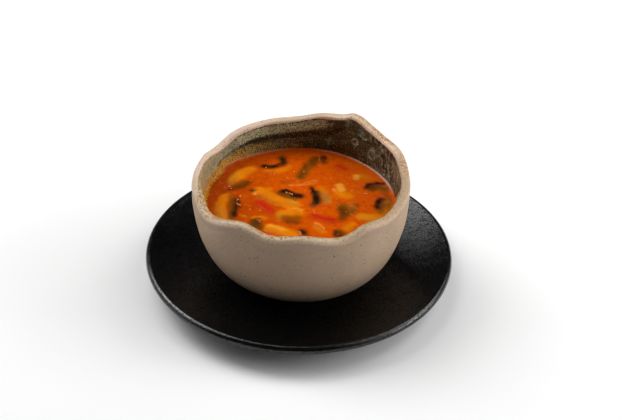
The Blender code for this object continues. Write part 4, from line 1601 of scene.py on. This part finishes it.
class TOMYUM_OT_scraps(bpy.types.Operator):
    """Scatter torn scraps of mushroom"""

    bl_idname = "tomyum.scraps"
    bl_label = "Scraps"

    def execute(self, context):
        points, faces = joined([scrap(row, 4.0 + k) for k, row in enumerate(SCRAPS)])
        masks = stain_shares(points)
        make_piece("scraps", points, faces, wet_food("mushroom scraps", 0.10), masks, "mushroom")
        return {"FINISHED"}


class TOMYUM_OT_droplets(bpy.types.Operator):
    """Scatter oil droplets and fine bubbles, pale as painted glints, and chilli flecks on the soup"""

    bl_idname = "tomyum.droplets"
    bl_label = "Droplets and flecks"

    def execute(self, context):
        choice = context.scene.tomyum_toppings
        rng = np.random.default_rng(7)
        pieces = soup_pieces()
        oil, foam_and_glint = droplet_liquid("oil droplets", choice.oil), droplet_liquid("fine bubbles", choice.foam_and_glint)
        make_piece("glinting_oil_droplets", *glinting_oil_droplets(rng, pieces, choice), oil, {}, "chilli_broth")
        make_piece("bubbles", *glinting_bubbles(rng, pieces), foam_and_glint, {}, "chilli_broth")
        make_piece("chilli_flecks", *chilli_flecks(rng, choice), chilli_skin(), {}, "red_chilli")
        return {"FINISHED"}


# ---------------------------------------------------------------- studio


class StudioSettings(bpy.types.PropertyGroup):
    """Floor, softboxes and camera."""

    strength: FloatProperty(
        name="Light", description="Strength of all the softboxes together", min=0.0, default=1.0)
    floor: FloatVectorProperty(
        name="Floor", description="Colour of the floor", subtype="COLOR", size=3,
        min=0.0, max=1.0, default=(0.92, 0.92, 0.92))
    elevation: FloatProperty(
        name="Camera elevation", description="Camera's angle above the table", subtype="ANGLE",
        unit="ROTATION", default=radians(35.84))
    distance: FloatProperty(
        name="Camera distance", description="Distance from the camera to the bowl",
        subtype="DISTANCE", unit="LENGTH", default=1.0)
    lens: FloatProperty(
        name="Lens", description="Focal length in millimetres", unit="CAMERA", default=90.36)
    roll: FloatProperty(
        name="Camera roll", description="Turn of the camera about its own axis", subtype="ANGLE",
        unit="ROTATION", default=radians(1.44))


# Softboxes: azimuth from +X and elevation in degrees, side in metres, and light they give.
SOFTBOXES = (
    (2, 22, 0.60, 0.36),
    (28, 42, 0.60, 0.25),
    (345, 15, 0.50, 0.22),
    (332, 34, 0.60, 0.08),
    (0, 60, 0.60, 0.13),
    (128, 60, 0.80, 0.32),
    (150, 45, 0.60, 0.38),
    (152, 26, 0.55, 0.13),
    (180, 42, 0.60, 0.11),
    (180, 20, 0.50, 0.06),
)
LIGHT_DISTANCE = 1.3
LIGHT_TARGET = Vector((0.0, 0.0, 0.03))
CAMERA_TARGET = Vector((0.00682, 0.0, 0.0508))
FLOOR_HALF = 4.0


class TOMYUM_OT_studio(bpy.types.Operator):
    """Set up the plain floor, the softboxes and the camera"""

    bl_idname = "tomyum.studio"
    bl_label = "Studio"

    def execute(self, context):
        choice = context.scene.tomyum_studio
        self.lay_floor(choice)
        for row in SOFTBOXES:
            self.hang_softbox(row, choice.strength)
        self.set_camera(choice)
        self.set_world()
        context.scene.view_settings.view_transform = "Standard"
        return {"FINISHED"}

    def lay_floor(self, choice):
        """White paper that the saucer stands on."""
        mesh = bpy.data.meshes.new("floor")
        corners = [(x * FLOOR_HALF, y * FLOOR_HALF, 0.0) for x, y in ((-1, -1), (1, -1), (1, 1), (-1, 1))]
        mesh.from_pydata(corners, [], [(0, 1, 2, 3)])
        paper = Recipe("floor paper")
        tone = paper.mix(paper.clouds(40.0) * 0.02, tuple(choice.floor), (1.0, 1.0, 1.0))
        mesh.materials.append(paper.surface(Base_Color=tone, Roughness=1.0, Specular_IOR_Level=0.0))
        floor = bpy.data.objects.new("floor", mesh)
        floor.location.z = -0.0001
        bpy.context.scene.collection.objects.link(floor)

    def hang_softbox(self, row, strength):
        """A square light that faces the bowl."""
        azimuth, elevation, side, share = row
        turn, lift = radians(azimuth), radians(elevation)
        away = Vector((cos(turn) * cos(lift), sin(turn) * cos(lift), sin(lift)))
        light = bpy.data.lights.new("softbox", "AREA")
        light.shape = "SQUARE"
        light.size = side
        light.energy = share * strength * (pi * LIGHT_DISTANCE) ** 2
        lamp = bpy.data.objects.new("softbox", light)
        lamp.location = LIGHT_TARGET + away * LIGHT_DISTANCE
        lamp.rotation_mode = "QUATERNION"
        lamp.rotation_quaternion = away.to_track_quat("Z", "Y")
        bpy.context.scene.collection.objects.link(lamp)

    def set_camera(self, choice):
        """A camera in front of the bowl that looks down on it."""
        back = Vector((0.0, -cos(choice.elevation), sin(choice.elevation)))
        right = Vector((1.0, 0.0, 0.0))
        up = back.cross(right)
        turned_right = cos(choice.roll) * right + sin(choice.roll) * up
        turned_up = cos(choice.roll) * up - sin(choice.roll) * right
        camera = bpy.data.cameras.new("camera")
        camera.sensor_width = 36.0
        camera.lens = choice.lens
        camera.clip_start, camera.clip_end = 0.01, 50.0
        view = bpy.data.objects.new("camera", camera)
        matrix = Matrix((turned_right, turned_up, back)).transposed().to_4x4()
        matrix.translation = CAMERA_TARGET + back * choice.distance
        view.matrix_world = matrix
        bpy.context.scene.collection.objects.link(view)
        bpy.context.scene.camera = view

    def set_world(self):
        """A white backdrop for the camera, and dim light from all round for everything else."""
        world = bpy.data.worlds.new("white room")
        room = Nodes(world)
        white = (1.0, 1.0, 1.0)
        seen = room.add("ShaderNodeBackground", None, {"Color": white, "Strength": 1.05})
        dim = room.add("ShaderNodeBackground", None, {"Color": white, "Strength": 0.03})
        is_seen = room.add("ShaderNodeLightPath", out="Is Camera Ray")
        either = room.add("ShaderNodeMixShader", None, {0: is_seen, 1: dim, 2: seen})
        room.add("ShaderNodeOutputWorld", None, {"Surface": either})
        bpy.context.scene.world = world


# ---------------------------------------------------------------- add-on


class TOMYUM_PT_panel(bpy.types.Panel):
    """Lists the steps that build the bowl of soup"""

    bl_idname = "TOMYUM_PT_panel"
    bl_label = "Tom Yum Soup"
    bl_space_type = "VIEW_3D"
    bl_region_type = "UI"
    bl_category = "Tom Yum"

    def draw(self, context):
        for settings, operators in STEPS:
            box = self.layout.box()
            group = getattr(context.scene, settings)
            for name in group.bl_rna.properties.keys():
                if name not in ("rna_type", "name"):
                    box.prop(group, name)
            for operator in operators:
                box.operator(operator.bl_idname)


GROUPS = {
    "tomyum_saucer": SaucerSettings,
    "tomyum_bowl": BowlSettings,
    "tomyum_morsels": MorselSettings,
    "tomyum_broth": BrothSettings,
    "tomyum_toppings": ToppingSettings,
    "tomyum_studio": StudioSettings,
}
STEPS = (
    ("tomyum_saucer", (TOMYUM_OT_saucer,)),
    ("tomyum_bowl", (TOMYUM_OT_bowl,)),
    ("tomyum_morsels", (TOMYUM_OT_mushrooms, TOMYUM_OT_stems, TOMYUM_OT_chillies)),
    ("tomyum_broth", (TOMYUM_OT_broth,)),
    ("tomyum_toppings", (TOMYUM_OT_scraps, TOMYUM_OT_droplets)),
    ("tomyum_studio", (TOMYUM_OT_studio,)),
)


def register():
    for name, group in GROUPS.items():
        bpy.utils.register_class(group)
        setattr(bpy.types.Scene, name, PointerProperty(type=group))
    for _settings, operators in STEPS:
        for operator in operators:
            bpy.utils.register_class(operator)
    bpy.utils.register_class(TOMYUM_PT_panel)


def unregister():
    bpy.utils.unregister_class(TOMYUM_PT_panel)
    for _settings, operators in reversed(STEPS):
        for operator in reversed(operators):
            bpy.utils.unregister_class(operator)
    for name, group in reversed(GROUPS.items()):
        delattr(bpy.types.Scene, name)
        bpy.utils.unregister_class(group)


def main():
    register()
    bpy.ops.tomyum.saucer()
    bpy.ops.tomyum.bowl()
    bpy.ops.tomyum.mushrooms()
    bpy.ops.tomyum.stems()
    bpy.ops.tomyum.chillies()
    bpy.ops.tomyum.broth()
    bpy.ops.tomyum.scraps()
    bpy.ops.tomyum.droplets()
    bpy.ops.tomyum.studio()


if __name__ == "__main__":
    main()
